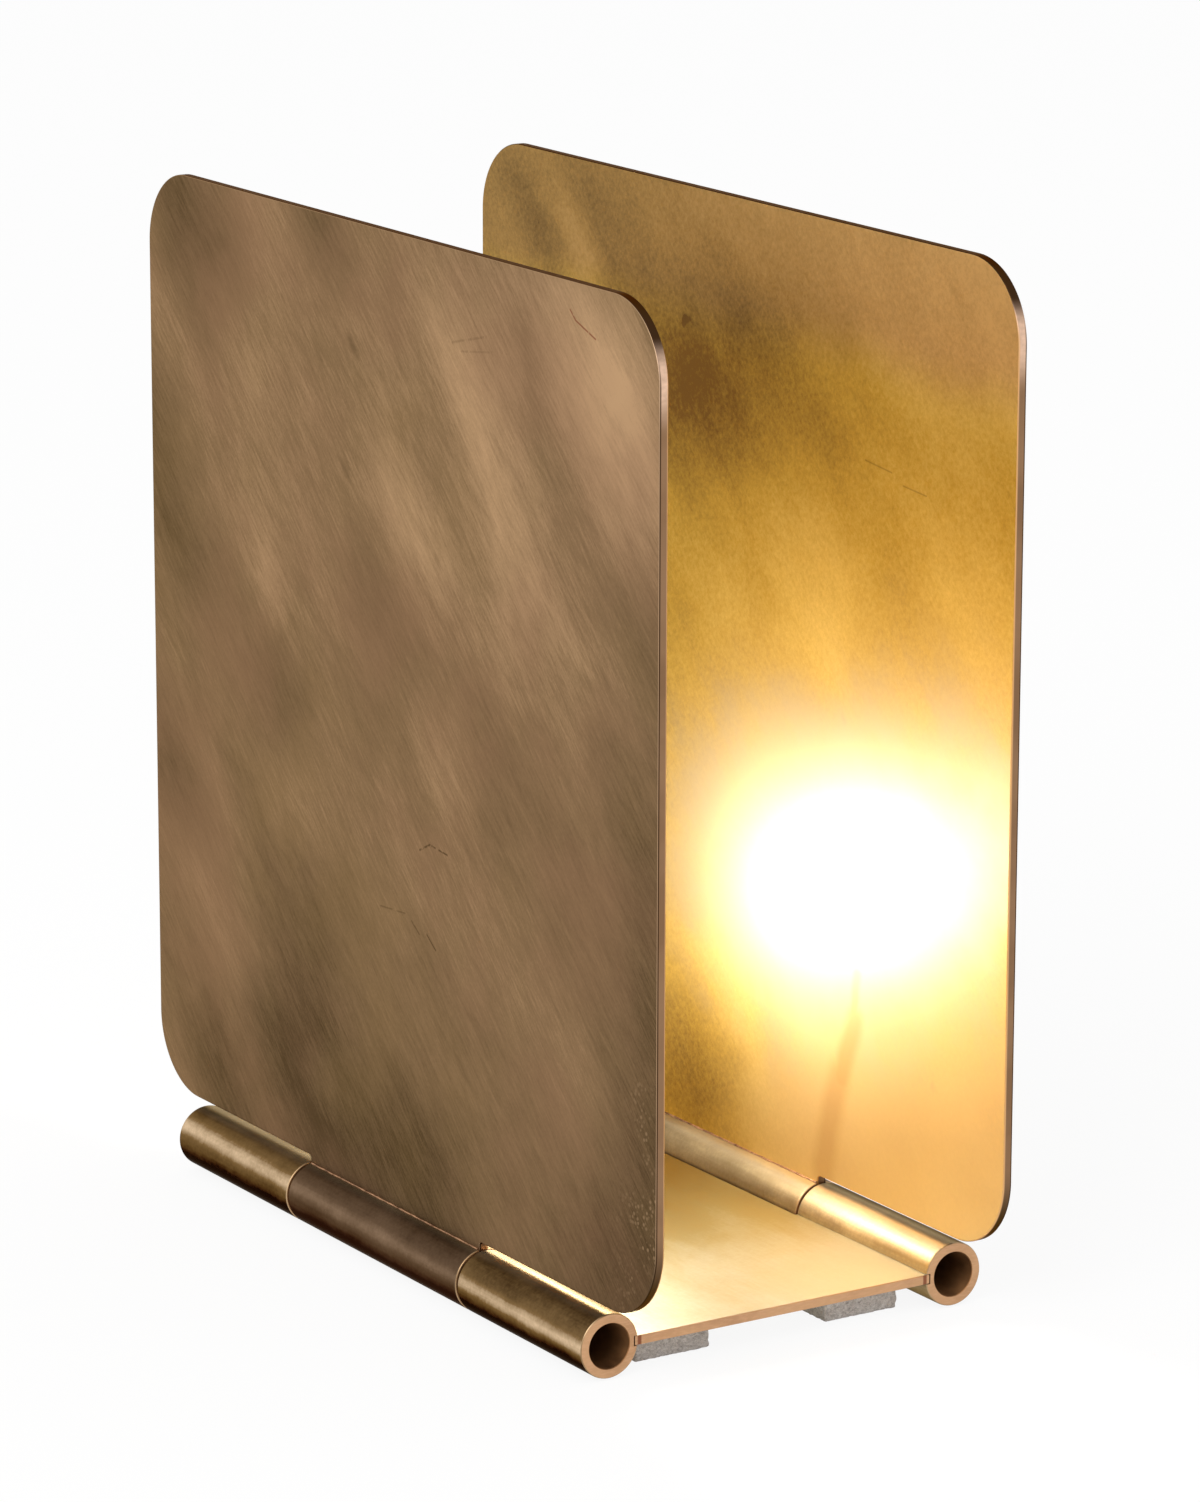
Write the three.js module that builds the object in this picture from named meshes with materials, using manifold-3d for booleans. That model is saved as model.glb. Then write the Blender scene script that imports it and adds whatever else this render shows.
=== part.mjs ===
// A table lamp built like a giant hinge. Two tall brass leaves stand on knuckle hinges along the
// two long sides of a brass base plate, and a small globe bulb burns between them.
// Lengths are millimetres. X runs across the lamp, Y along its hinge tubes and Z up. The front of
// the lamp is at -Y. The origin is on the table, under the middle of the base.

import * as THREE from 'three';
import { mergeVertices } from 'three/addons/utils/BufferGeometryUtils.js';
import Module from 'manifold-3d';

const wasm = await Module();
wasm.setup();

// Driving dimensions: sheet and tube

const plateThickness = 3;
const plateChamfer = 0.3;
const tubeDiameter = 20;
const tubeWall = 3;
const tubeChamfer = 0.5;

// Driving dimensions: hinges

const hingeSpacing = 124;
const outerKnuckleLength = 70;
const centreKnuckleLength = 102;
const seamGap = 1;
const grooveDepth = 1.5;
const grooveFloorGap = 0.4;
const knuckleClearance = 0.6;

// Driving dimensions: leaves

const leafOverhang = 27;
const leafHeight = 302;
const leafCornerRadius = 24;
const leafLift = 2.4;
const tabCornerRelief = 0.8;

// Driving dimensions: felt pads

const padSide = 27;
const padThickness = 9;
const padCornerRadius = 1;
const padSetback = 8.5;
const padInsetFromAxis = 14.3;

// Clearances

const solderGap = 0.1;
const runningGap = 0.15;
const seatGap = 0.3;
const cutOverrun = 2;

// Driving dimensions: inside each hinge

const bushWall = 1.2;
const bushLength = 22;
const plugLength = 18;
const pinShoulder = 1.5;
const pinHeadThickness = 6;
const pinEndChamfer = 0.6;
const washerRecess = 1;
const springThickness = 0.8;
const springConeHeight = 0.5;
const nutThickness = 6;
const nutSlotWidth = 2;
const nutSlotDepth = 1.5;
const nutBoreGap = 0.5;
const threadOverhang = 2;
const grubRadius = 2;
const grubRecess = 0.4;
const grubSocketRadius = 1.15;
const grubSocketDepth = 1.5;

// Driving dimensions: nipple and what is clamped on it

const nippleRadius = 5;
const nippleBoreRadius = 3.5;
const nippleRiseAbovePlate = 10;
const earthTagThickness = 0.8;
const earthTagRadius = 8;
const earthTagReach = 17;
const earthTagTabWidth = 5;
const earthTagHoleRadius = 1.2;
const nippleWasherRadius = 9;
const nippleWasherThickness = 1;
const nippleNutFlats = 14;
const nippleNutThickness = 2.5;
const nippleNutChamfer = 0.5;
const nippleOverhang = 0.5;
const inletFlangeThickness = 0.9;
const inletFlangeRadius = 4.8;
const inletBushWall = 0.8;
const inletBushLength = 8;

// Driving dimensions: lampholder

const holderRadius = 14;
const holderWall = 1.2;
const capBossRadius = 7.5;
const capBossHeight = 5;
const capBossInnerRise = 8.5;
const capFloorThickness = 1.4;
const capBowlHeight = 13;
const capLedgeHeight = 14.2;
const capLedgeWidth = 1.6;
const capHeight = 20;
const skirtHeight = 33.7;
const skirtSpigotWall = 1;
const skirtLipHeight = 2;
const skirtMouthWall = 3.4;
const skirtRimChamfer = 0.6;
const coreFlangeThickness = 1.5;
const coreFloorThickness = 13;
const coreWall = 3.1;
const coreMouthDepth = 3.7;
const coreMouthWall = 1.3;
const screwContactWall = 0.5;
const screwContactHeight = 14.5;
const screwContactGap = 0.35;
const tongueThickness = 0.5;
const tongueWidth = 4;
const tongueFootLength = 5;
const terminalSpacing = 11;
const terminalHeadRadius = 2.4;
const terminalHeadThickness = 1.8;
const terminalShankRadius = 1.2;
const terminalShankLength = 7;
const terminalSlotWidth = 0.6;
const terminalSlotDepth = 0.8;

// Driving dimensions: bulb

const bulbLength = 78;
const globeRadius = 22.5;
const glassWall = 0.8;
const bulbNeckStep = 1.65;
const bulbNeckHeight = 2.4;
const bulbCapWall = 0.4;
const bulbCapHeight = 19.2;
const bulbCapStraightHeight = 13.2;
const bulbCapFlareHeight = 2.2;
const bulbCapFootHeight = 1.2;
const bulbCapFootShare = 0.72;
const tipShare = 0.345;
const tipThickness = 1.2;
const insulatorThickness = 1.2;
const insulatorFootShare = 0.43;
const stemRadius = 2.6;
const stemFlareHeight = 4;
const stemRimThickness = 0.9;
const stemHeight = 20;
const leadRadius = 0.35;
const leadSpread = 7;
const leadFootSpread = 1.5;
const leadHeight = 15;
const filamentRadius = 0.45;
const filamentDrop = 1;

// Facets

const tubeSides = 44;
const glassSides = 28;
const smallSides = 20;
const screwSides = 10;
const wireSides = 3;
const cornerSteps = 7;
const padCornerSteps = 2;
const bowlSteps = 4;
const neckSteps = 4;
const globeSteps = 9;
const filamentSteps = 10;

// Worked out from the driving dimensions

const tubeRadius = tubeDiameter / 2;
const boreRadius = tubeRadius - tubeWall;
const halfPlate = plateThickness / 2;
const axisHeight = padThickness + halfPlate;
const plateTop = axisHeight + halfPlate;
const plateUnderside = axisHeight - halfPlate;
const halfCentre = centreKnuckleLength / 2;
const outerKnuckleStart = halfCentre + seamGap;
const tubeEnd = outerKnuckleStart + outerKnuckleLength;
const leafWidth = 2 * (tubeEnd + leafOverhang);
const fitRadius = boreRadius - runningGap;
const pinRadius = fitRadius - bushWall - runningGap;
const threadRadius = pinRadius - pinShoulder;
const plugEnd = outerKnuckleStart + plugLength;
const screwHoleRadius = grubRadius + runningGap;

const brass = { color: 0xb58a4e, roughness: 0.32, metalness: 1 };
const patinaBrass = { color: 0x8a6a48, roughness: 0.4, metalness: 1 };
const steel = { color: 0x9a9a98, roughness: 0.35, metalness: 1 };
const bronze = { color: 0x8c6239, roughness: 0.45, metalness: 1 };
const darkFibre = { color: 0x2a2420, roughness: 0.85, metalness: 0 };
const felt = { color: 0xa49a90, roughness: 0.95, metalness: 0 };
const porcelain = { color: 0xe9e6de, roughness: 0.3, metalness: 0 };
const blackPlastic = { color: 0x1d1c1b, roughness: 0.5, metalness: 0 };
const opalGlass = { color: 0xfff1d8, roughness: 0.25, metalness: 0, emissive: 0xffd9a0 };
const clearGlass = { color: 0xdfe6e4, roughness: 0.1, metalness: 0 };
const nickel = { color: 0xb9b5ab, roughness: 0.3, metalness: 1 };
const tungsten = { color: 0x5b5650, roughness: 0.5, metalness: 1 };

// Shape helpers

// Shared corners merged and slivers with two equal corners left out, so that the body is closed.
function closed(geometry) {
  const plain = geometry.index === null ? geometry : geometry.toNonIndexed();
  plain.deleteAttribute('normal');
  plain.deleteAttribute('uv');
  const merged = mergeVertices(plain);
  const corners = merged.index.array;
  const kept = [];
  for (let first = 0; first < corners.length; first += 3) {
    const [a, b, c] = corners.slice(first, first + 3);
    if (a !== b && b !== c && c !== a) {
      kept.push(a, b, c);
    }
  }
  merged.setIndex(kept);
  return merged;
}

// A profile of [radius, along] pairs turned about the Y axis. It either starts and ends on the
// axis or is closed by going back to its first point.
function turned(profile, sides) {
  const points = profile.map(([radius, along]) => new THREE.Vector2(radius, along));
  const startsOnAxis = profile[0][0] === 0;
  if (!startsOnAxis) {
    points.push(points[0].clone());
  }
  return closed(new THREE.LatheGeometry(points, sides));
}

// The same about the Z axis, for what stands upright.
function turnedUpright(profile, sides) {
  return turned(profile, sides).rotateX(Math.PI / 2);
}

// A ring of one wall from one end to the other along Y, with its outer rims chamfered.
function chamferedRing(outer, inner, start, end, chamfer, sides) {
  return turned([
    [inner, start],
    [outer - chamfer, start],
    [outer, start + chamfer],
    [outer, end - chamfer],
    [outer - chamfer, end],
    [inner, end],
  ], sides);
}

// A plain ring without chamfers.
function plainRing(outer, inner, start, end, sides) {
  return turned([[inner, start], [outer, start], [outer, end], [inner, end]], sides);
}

// A plain box given by its two corners.
function boxBetween(low, high) {
  const size = high.map((value, axis) => value - low[axis]);
  const middle = high.map((value, axis) => (value + low[axis]) / 2);
  return closed(new THREE.BoxGeometry(...size).translate(...middle));
}

// An outline pressed out to a thickness, centred on it, with the edges chamfered.
function chamferedSheet(shape, thickness, chamfer) {
  const geometry = new THREE.ExtrudeGeometry(shape, {
    depth: thickness - 2 * chamfer,
    bevelEnabled: true,
    bevelThickness: chamfer,
    bevelSize: chamfer,
    bevelOffset: -chamfer,
    bevelSegments: 1,
    curveSegments: cornerSteps,
  });
  return closed(geometry.translate(0, 0, chamfer - thickness / 2));
}

// An outline pressed out to a thickness from z = 0 upwards, with square edges.
function flatSheet(shape, thickness, steps) {
  const settings = { depth: thickness, bevelEnabled: false, curveSegments: steps };
  return closed(new THREE.ExtrudeGeometry(shape, settings));
}

function toSolid(geometry) {
  const mesh = new wasm.Mesh({
    numProp: 3,
    vertProperties: new Float32Array(geometry.attributes.position.array),
    triVerts: new Uint32Array(geometry.index.array),
  });
  return new wasm.Manifold(mesh);
}

function fromSolid(solid) {
  const mesh = solid.getMesh();
  const geometry = new THREE.BufferGeometry();
  geometry.setAttribute('position', new THREE.BufferAttribute(mesh.vertProperties, 3));
  geometry.setIndex(new THREE.BufferAttribute(mesh.triVerts, 1));
  return geometry;
}

function cut(geometry, ...tools) {
  let solid = toSolid(geometry);
  for (const tool of tools) {
    solid = solid.subtract(toSolid(tool));
  }
  return fromSolid(solid);
}

function addPiece(parent, name, geometry, finish) {
  const mesh = new THREE.Mesh(geometry, new THREE.MeshStandardMaterial(finish));
  mesh.name = name;
  parent.add(mesh);
}

// Base plate

// The long edges are let into the outer knuckles, and the plate is cut back beside the centre
// knuckles so that they can turn.
function basePlate() {
  const inKnuckle = hingeSpacing / 2 - tubeRadius + grooveDepth - grooveFloorGap;
  const cutBack = hingeSpacing / 2 - tubeRadius - knuckleClearance;
  const shape = new THREE.Shape();
  shape.moveTo(-inKnuckle, -tubeEnd);
  shape.lineTo(inKnuckle, -tubeEnd);
  shape.lineTo(inKnuckle, -outerKnuckleStart);
  shape.lineTo(cutBack, -outerKnuckleStart);
  shape.lineTo(cutBack, outerKnuckleStart);
  shape.lineTo(inKnuckle, outerKnuckleStart);
  shape.lineTo(inKnuckle, tubeEnd);
  shape.lineTo(-inKnuckle, tubeEnd);
  shape.lineTo(-inKnuckle, outerKnuckleStart);
  shape.lineTo(-cutBack, outerKnuckleStart);
  shape.lineTo(-cutBack, -outerKnuckleStart);
  shape.lineTo(-inKnuckle, -outerKnuckleStart);
  shape.closePath();
  const hole = new THREE.CylinderGeometry(
    nippleRadius + seatGap,
    nippleRadius + seatGap,
    plateThickness + cutOverrun,
    smallSides,
  );
  const sheet = chamferedSheet(shape, plateThickness, plateChamfer);
  return cut(sheet, closed(hole.rotateX(Math.PI / 2))).translate(0, 0, axisHeight);
}

// Felt pads

// One pad near each corner of the plate. Each stands a little lower than the tubes.
function feltPad(sideways, lengthways) {
  const half = padSide / 2;
  const inner = half - padCornerRadius;
  const shape = new THREE.Shape();
  shape.absarc(inner, inner, padCornerRadius, 0, Math.PI / 2);
  shape.absarc(-inner, inner, padCornerRadius, Math.PI / 2, Math.PI);
  shape.absarc(-inner, -inner, padCornerRadius, Math.PI, 3 * Math.PI / 2);
  shape.absarc(inner, -inner, padCornerRadius, 3 * Math.PI / 2, 2 * Math.PI);
  shape.closePath();
  const across = hingeSpacing / 2 - padInsetFromAxis - half;
  const along = tubeEnd - padSetback - half;
  const pad = flatSheet(shape, padThickness, padCornerSteps);
  return pad.translate(sideways * across, lengthways * along, 0);
}

// Hinge pieces. Each is made on the hinge axis: Y runs along the tube, and the piece lies
// towards +Y when lengthways is 1 and towards -Y when it is -1.

// A piece drawn towards +Y, turned half round about Z when it belongs at the front.
function placedAlong(geometry, lengthways) {
  return lengthways > 0 ? geometry : geometry.rotateZ(Math.PI);
}

// The round hole for a grub screw, from below through the knuckle and the plug.
function grubHole(lengthways) {
  const hole = new THREE.CylinderGeometry(screwHoleRadius, screwHoleRadius, tubeRadius, screwSides);
  const along = lengthways * (outerKnuckleStart + plugLength / 2);
  hole.rotateX(Math.PI / 2);
  return closed(hole.translate(0, along, -tubeRadius / 2 - cutOverrun));
}

// A fixed knuckle: a length of tube with a groove for the base plate on the side towards the
// plate, which is +X when inward is 1.
function outerKnuckle(lengthways, inward) {
  const low = Math.min(lengthways * outerKnuckleStart, lengthways * tubeEnd);
  const high = low + outerKnuckleLength;
  const tube = chamferedRing(tubeRadius, boreRadius, low, high, tubeChamfer, tubeSides);
  const grooveHalf = halfPlate + solderGap;
  const floor = inward * (tubeRadius - grooveDepth);
  const outside = inward * (tubeRadius + cutOverrun);
  const groove = boxBetween(
    [Math.min(floor, outside), low - cutOverrun, -grooveHalf],
    [Math.max(floor, outside), high + cutOverrun, grooveHalf],
  );
  return cut(tube, groove, grubHole(lengthways));
}

// The turning knuckle, with a groove along its top for the leaf's tab.
function centreKnuckle() {
  const tube = chamferedRing(
    tubeRadius, boreRadius, -halfCentre, halfCentre, tubeChamfer, tubeSides,
  );
  const grooveHalf = halfPlate + solderGap;
  const groove = boxBetween(
    [-grooveHalf, -halfCentre - cutOverrun, tubeRadius - grooveDepth],
    [grooveHalf, halfCentre + cutOverrun, tubeRadius + cutOverrun],
  );
  return cut(tube, groove);
}

// A leaf stands on the hinge axis with its lower edge clear of the outer knuckles. Its tab is
// as long as the centre knuckle and goes down into the groove there. The corner between the
// tab and the lower edge is cut off a little.
function leaf() {
  const half = leafWidth / 2;
  const bottom = tubeRadius + leafLift;
  const top = bottom + leafHeight;
  const tabFoot = tubeRadius - grooveDepth + solderGap;
  const corner = leafCornerRadius;
  const relief = tabCornerRelief;
  const shape = new THREE.Shape();
  shape.moveTo(-halfCentre, tabFoot);
  shape.lineTo(halfCentre, tabFoot);
  shape.lineTo(halfCentre, bottom - relief);
  shape.lineTo(halfCentre + relief, bottom);
  shape.absarc(half - corner, bottom + corner, corner, -Math.PI / 2, 0);
  shape.absarc(half - corner, top - corner, corner, 0, Math.PI / 2);
  shape.absarc(corner - half, top - corner, corner, Math.PI / 2, Math.PI);
  shape.absarc(corner - half, bottom + corner, corner, Math.PI, 3 * Math.PI / 2);
  shape.lineTo(-halfCentre - relief, bottom);
  shape.lineTo(-halfCentre, bottom - relief);
  shape.closePath();
  const sheet = chamferedSheet(shape, plateThickness, plateChamfer);
  return sheet.rotateX(Math.PI / 2).rotateZ(Math.PI / 2);
}

// A bush pressed into one end of the centre knuckle, on which the leaf turns.
function bush(lengthways) {
  const start = halfCentre - bushLength;
  const inner = pinRadius + runningGap;
  const sleeve = plainRing(fitRadius, inner, start, halfCentre, smallSides);
  return placedAlong(sleeve, lengthways);
}

// A plug fixed in an outer knuckle, flush with its inner end. It carries the pin.
function plug(lengthways) {
  const inner = pinRadius + runningGap;
  const sleeve = plainRing(fitRadius, inner, outerKnuckleStart, plugEnd, smallSides);
  return cut(placedAlong(sleeve, lengthways), grubHole(lengthways));
}

const springNames = ['inner', 'outer'];
const springPitch = springThickness + springConeHeight + solderGap;
const nutStart = plugEnd + solderGap + springNames.length * springPitch;
const nutEnd = nutStart + nutThickness;
const pinThreadEnd = nutEnd + threadOverhang;
const pinHeadStart = plugEnd + solderGap;
const pinHeadEnd = pinHeadStart + pinHeadThickness;

// The pin: a round head behind the rear plug, a plain shank and a thinner threaded end that
// carries the springs and the lock nut in front of the front plug.
function hingePin() {
  const threadStart = -plugEnd;
  return turned([
    [0, -pinThreadEnd],
    [threadRadius - pinEndChamfer, -pinThreadEnd],
    [threadRadius, -pinThreadEnd + pinEndChamfer],
    [threadRadius, threadStart],
    [pinRadius, threadStart],
    [pinRadius, pinHeadStart],
    [boreRadius - nutBoreGap, pinHeadStart],
    [boreRadius - nutBoreGap, pinHeadEnd - pinEndChamfer],
    [boreRadius - nutBoreGap - pinEndChamfer, pinHeadEnd],
    [0, pinHeadEnd],
  ], smallSides);
}

// A disc spring: a dished washer. They are stacked in turn one way and the other.
function discSpring(place) {
  const inner = threadRadius + runningGap;
  const outer = boreRadius - nutBoreGap;
  const start = plugEnd + solderGap + place * springPitch;
  const innerRise = place % 2 === 0 ? springConeHeight : 0;
  const outerRise = springConeHeight - innerRise;
  const disc = turned([
    [inner, start + innerRise],
    [outer, start + outerRise],
    [outer, start + outerRise + springThickness],
    [inner, start + innerRise + springThickness],
  ], smallSides);
  return placedAlong(disc, -1);
}

// A round nut with a slot across its outer face for a pin spanner.
function lockNut() {
  const outer = boreRadius - nutBoreGap;
  const inner = threadRadius + runningGap;
  const body = chamferedRing(outer, inner, nutStart, nutEnd, pinEndChamfer, smallSides);
  const slot = boxBetween(
    [-tubeRadius, nutEnd - nutSlotDepth, -nutSlotWidth / 2],
    [tubeRadius, nutEnd + cutOverrun, nutSlotWidth / 2],
  );
  return placedAlong(cut(body, slot), -1);
}

// A thin friction washer in a seam, a little smaller than the tube.
function frictionWasher(lengthways) {
  const outer = tubeRadius - washerRecess;
  const inner = pinRadius + runningGap;
  const start = halfCentre + runningGap;
  const end = outerKnuckleStart - runningGap;
  return placedAlong(plainRing(outer, inner, start, end, smallSides), lengthways);
}

// A grub screw with a hexagon socket, under an outer knuckle. It goes through the plug and
// bears on the pin, so that the pin can't turn with the leaf.
function grubScrew(lengthways) {
  const foot = tubeRadius - grubRecess;
  const length = foot - pinRadius - seatGap;
  const body = closed(new THREE.CylinderGeometry(grubRadius, grubRadius, length, screwSides));
  const socketHeight = grubSocketDepth + cutOverrun;
  const socket = new THREE.CylinderGeometry(grubSocketRadius, grubSocketRadius, socketHeight, 6);
  socket.translate(0, -length / 2 + grubSocketDepth - socketHeight / 2, 0);
  const screw = cut(body, closed(socket)).rotateX(Math.PI / 2);
  const along = lengthways * (outerKnuckleStart + plugLength / 2);
  return screw.translate(0, along, -foot + length / 2);
}

// Nipple and what is clamped on it. Heights here are on Z.

const earthTagBottom = plateUnderside - earthTagThickness;
const washerBottom = earthTagBottom - nippleWasherThickness;
const nutBottom = washerBottom - nippleNutThickness;
const nippleBottom = nutBottom - nippleOverhang;
const nippleTop = plateTop + nippleRiseAbovePlate;
const nippleHoleRadius = nippleRadius + seatGap;

// An upright ring without chamfers.
function uprightRing(outer, inner, bottom, top, sides) {
  return plainRing(outer, inner, bottom, top, sides).rotateX(Math.PI / 2);
}

// The ring tag for the earth wire, with a flat tab towards the rear.
function earthTag() {
  const halfTab = earthTagTabWidth / 2;
  const opening = Math.asin(halfTab / earthTagRadius);
  const up = Math.PI / 2;
  const shape = new THREE.Shape();
  shape.absarc(0, 0, earthTagRadius, up + opening, up - opening + 2 * Math.PI);
  shape.lineTo(halfTab, earthTagReach - halfTab);
  shape.absarc(0, earthTagReach - halfTab, halfTab, 0, Math.PI);
  shape.closePath();
  const bore = new THREE.Path();
  bore.absarc(0, 0, nippleHoleRadius, 0, 2 * Math.PI);
  const eye = new THREE.Path();
  eye.absarc(0, earthTagReach - halfTab, earthTagHoleRadius, 0, 2 * Math.PI);
  shape.holes.push(bore, eye);
  return flatSheet(shape, earthTagThickness, cornerSteps).translate(0, 0, earthTagBottom);
}

function nippleNut() {
  const cornerRadius = nippleNutFlats / Math.sqrt(3);
  const hexagon = closed(
    new THREE.CylinderGeometry(cornerRadius, cornerRadius, nippleNutThickness, 6),
  );
  const half = nippleNutThickness / 2;
  const rim = cornerRadius - nippleNutChamfer;
  const roundBlank = turned([
    [nippleHoleRadius, -half],
    [rim, -half],
    [cornerRadius, -half + nippleNutChamfer],
    [cornerRadius, half - nippleNutChamfer],
    [rim, half],
    [nippleHoleRadius, half],
  ], smallSides);
  const nut = fromSolid(toSolid(roundBlank).intersect(toSolid(hexagon)));
  return nut.rotateX(Math.PI / 2).translate(0, 0, nutBottom + half);
}

// The insulating bush where the cord enters the nipple from below.
function inletBush() {
  const outer = nippleBoreRadius - runningGap;
  const inner = outer - inletBushWall;
  return turnedUpright([
    [inner, nippleBottom - inletFlangeThickness],
    [inletFlangeRadius, nippleBottom - inletFlangeThickness],
    [inletFlangeRadius, nippleBottom],
    [outer, nippleBottom],
    [outer, nippleBottom + inletBushLength],
    [inner, nippleBottom + inletBushLength],
  ], smallSides);
}

// Lampholder. Its cap stands on the plate, and the core is clamped between the cap's ledge and
// the skirt that screws into the cap.

const capTop = plateTop + capHeight;
const capInnerRadius = holderRadius - holderWall;
const ledgeHeight = plateTop + capLedgeHeight;
const ledgeInnerRadius = capInnerRadius - capLedgeWidth;
const coreBottom = ledgeHeight + seatGap;
const coreFlangeTop = coreBottom + coreFlangeThickness;
const skirtBottom = coreFlangeTop + seatGap;
const spigotRadius = capInnerRadius - seatGap;
const skirtInnerRadius = spigotRadius - skirtSpigotWall;
const skirtShoulder = capTop + seatGap;
const skirtTop = skirtShoulder + skirtHeight;
const mouthRadius = holderRadius - skirtMouthWall;
const coreRadius = skirtInnerRadius - seatGap;
const coreTop = skirtTop - skirtLipHeight - seatGap;
const cavityFloor = coreFlangeTop + coreFloorThickness;
const cavityRadius = coreRadius - coreWall;
const screwContactOuter = cavityRadius - seatGap;
const screwContactInner = screwContactOuter - screwContactWall;
const bulbCapRadius = screwContactInner - screwContactGap;
const tipRadius = bulbCapRadius * tipShare;
const cavityStep = coreTop - coreMouthDepth;

// Points on a quarter of an oval bowl, from its floor at the inner radius up to its brim.
function bowlPoints(floorRadius, brimRadius, floor, brim) {
  const points = [];
  for (let step = 0; step <= bowlSteps; step += 1) {
    const angle = (step / bowlSteps) * (Math.PI / 2);
    const radius = floorRadius + (brimRadius - floorRadius) * Math.sin(angle);
    points.push([radius, brim - (brim - floor) * Math.cos(angle)]);
  }
  return points;
}

function holderCap() {
  const bossTop = plateTop + capBossHeight;
  const bowlBrim = plateTop + capBowlHeight;
  const innerFloor = bossTop + capFloorThickness;
  const outside = bowlPoints(capBossRadius, holderRadius, bossTop, bowlBrim);
  const inside = bowlPoints(capBossRadius, ledgeInnerRadius, innerFloor, ledgeHeight).reverse();
  return turnedUpright([
    [nippleHoleRadius, plateTop],
    [capBossRadius, plateTop],
    ...outside,
    [holderRadius, capTop],
    [capInnerRadius, capTop],
    [capInnerRadius, ledgeHeight],
    ...inside,
    [capBossRadius, plateTop + capBossInnerRise],
    [nippleHoleRadius, plateTop + capBossInnerRise],
  ], smallSides);
}

function holderSkirt() {
  return turnedUpright([
    [skirtInnerRadius, skirtBottom],
    [spigotRadius, skirtBottom],
    [spigotRadius, skirtShoulder],
    [holderRadius, skirtShoulder],
    [holderRadius, skirtTop - skirtRimChamfer],
    [holderRadius - skirtRimChamfer, skirtTop],
    [mouthRadius, skirtTop],
    [mouthRadius, skirtTop - skirtLipHeight],
    [skirtInnerRadius, skirtTop - skirtLipHeight],
  ], smallSides);
}

// The insulating core: a flange on the cap's ledge, a thick floor with the two terminal holes,
// and a cup for the screw contact that widens at its mouth.
function holderCore() {
  const cup = turnedUpright([
    [0, coreBottom],
    [capInnerRadius - seatGap, coreBottom],
    [capInnerRadius - seatGap, coreFlangeTop],
    [coreRadius, coreFlangeTop],
    [coreRadius, coreTop],
    [coreRadius - coreMouthWall, coreTop],
    [coreRadius - coreMouthWall, cavityStep],
    [cavityRadius, cavityStep],
    [cavityRadius, cavityFloor],
    [0, cavityFloor],
  ], smallSides);
  const radius = terminalShankRadius + runningGap;
  const depth = terminalShankLength + seatGap;
  const holes = [-1, 1].map((across) => {
    const hole = new THREE.CylinderGeometry(radius, radius, depth + cutOverrun, screwSides);
    hole.rotateX(Math.PI / 2);
    const middle = coreBottom + (depth - cutOverrun) / 2;
    return closed(hole.translate(across * terminalSpacing / 2, 0, middle));
  });
  return cut(cup, ...holes);
}

function screwContact() {
  const bottom = cavityStep - screwContactHeight;
  return uprightRing(screwContactOuter, screwContactInner, bottom, cavityStep, smallSides);
}

const tipBottom = skirtTop + seatGap - bulbCapHeight - tipThickness - insulatorThickness;

// The centre contact: a springy tongue with a foot on the core's floor and a raised end under
// the bulb's tip.
function centreContact() {
  const top = tipBottom - seatGap;
  const reach = tongueFootLength;
  const shape = new THREE.Shape();
  shape.moveTo(-reach, cavityFloor);
  shape.lineTo(0, cavityFloor);
  shape.lineTo(tongueThickness, top - tongueThickness);
  shape.lineTo(tipRadius, top - tongueThickness);
  shape.lineTo(tipRadius, top);
  shape.lineTo(0, top);
  shape.lineTo(-tongueThickness, cavityFloor + tongueThickness);
  shape.lineTo(-reach, cavityFloor + tongueThickness);
  shape.closePath();
  const strip = flatSheet(shape, tongueWidth, 1);
  return strip.rotateX(Math.PI / 2).translate(0, tongueWidth / 2, 0);
}

// A slotted terminal screw in the floor of the core, with its head below it.
function terminalScrew(across) {
  const headBottom = coreBottom - terminalHeadThickness;
  const screw = turnedUpright([
    [0, headBottom],
    [terminalHeadRadius, headBottom],
    [terminalHeadRadius, coreBottom],
    [terminalShankRadius, coreBottom],
    [terminalShankRadius, coreBottom + terminalShankLength],
    [0, coreBottom + terminalShankLength],
  ], screwSides);
  const slot = boxBetween(
    [-terminalSlotWidth / 2, -terminalHeadRadius - cutOverrun, headBottom - cutOverrun],
    [terminalSlotWidth / 2, terminalHeadRadius + cutOverrun, headBottom + terminalSlotDepth],
  );
  return cut(screw, slot).translate(across * terminalSpacing / 2, 0, 0);
}

// Bulb. Its screw cap ends just above the holder's mouth, and the globe swells above it. The
// cap's radius is what the holder's walls leave inside the screw contact.

const bulbNeckRadius = bulbCapRadius + bulbNeckStep;
const bulbCapFootRadius = bulbCapRadius * bulbCapFootShare;
const insulatorFootRadius = bulbCapRadius * insulatorFootShare;
const insulatorBottom = tipBottom + tipThickness + solderGap;
const insulatorTop = insulatorBottom + insulatorThickness;
const bulbCapBottom = insulatorTop + solderGap;
const bulbCapStraightTop = bulbCapBottom + bulbCapFootHeight + bulbCapStraightHeight;
const bulbCapFlareTop = bulbCapStraightTop + bulbCapFlareHeight;
const bulbCapTop = bulbCapBottom + bulbCapHeight;
const flareInnerRadius = bulbNeckRadius + seatGap;
const flareOuterRadius = flareInnerRadius + bulbCapWall;
const neckBottom = bulbCapFlareTop + seatGap;
const neckTop = neckBottom + bulbNeckHeight;
const globeTop = tipBottom + bulbLength;
const globeCentre = globeTop - globeRadius;
const shoulderAngle = Math.PI * 0.28;

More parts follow.
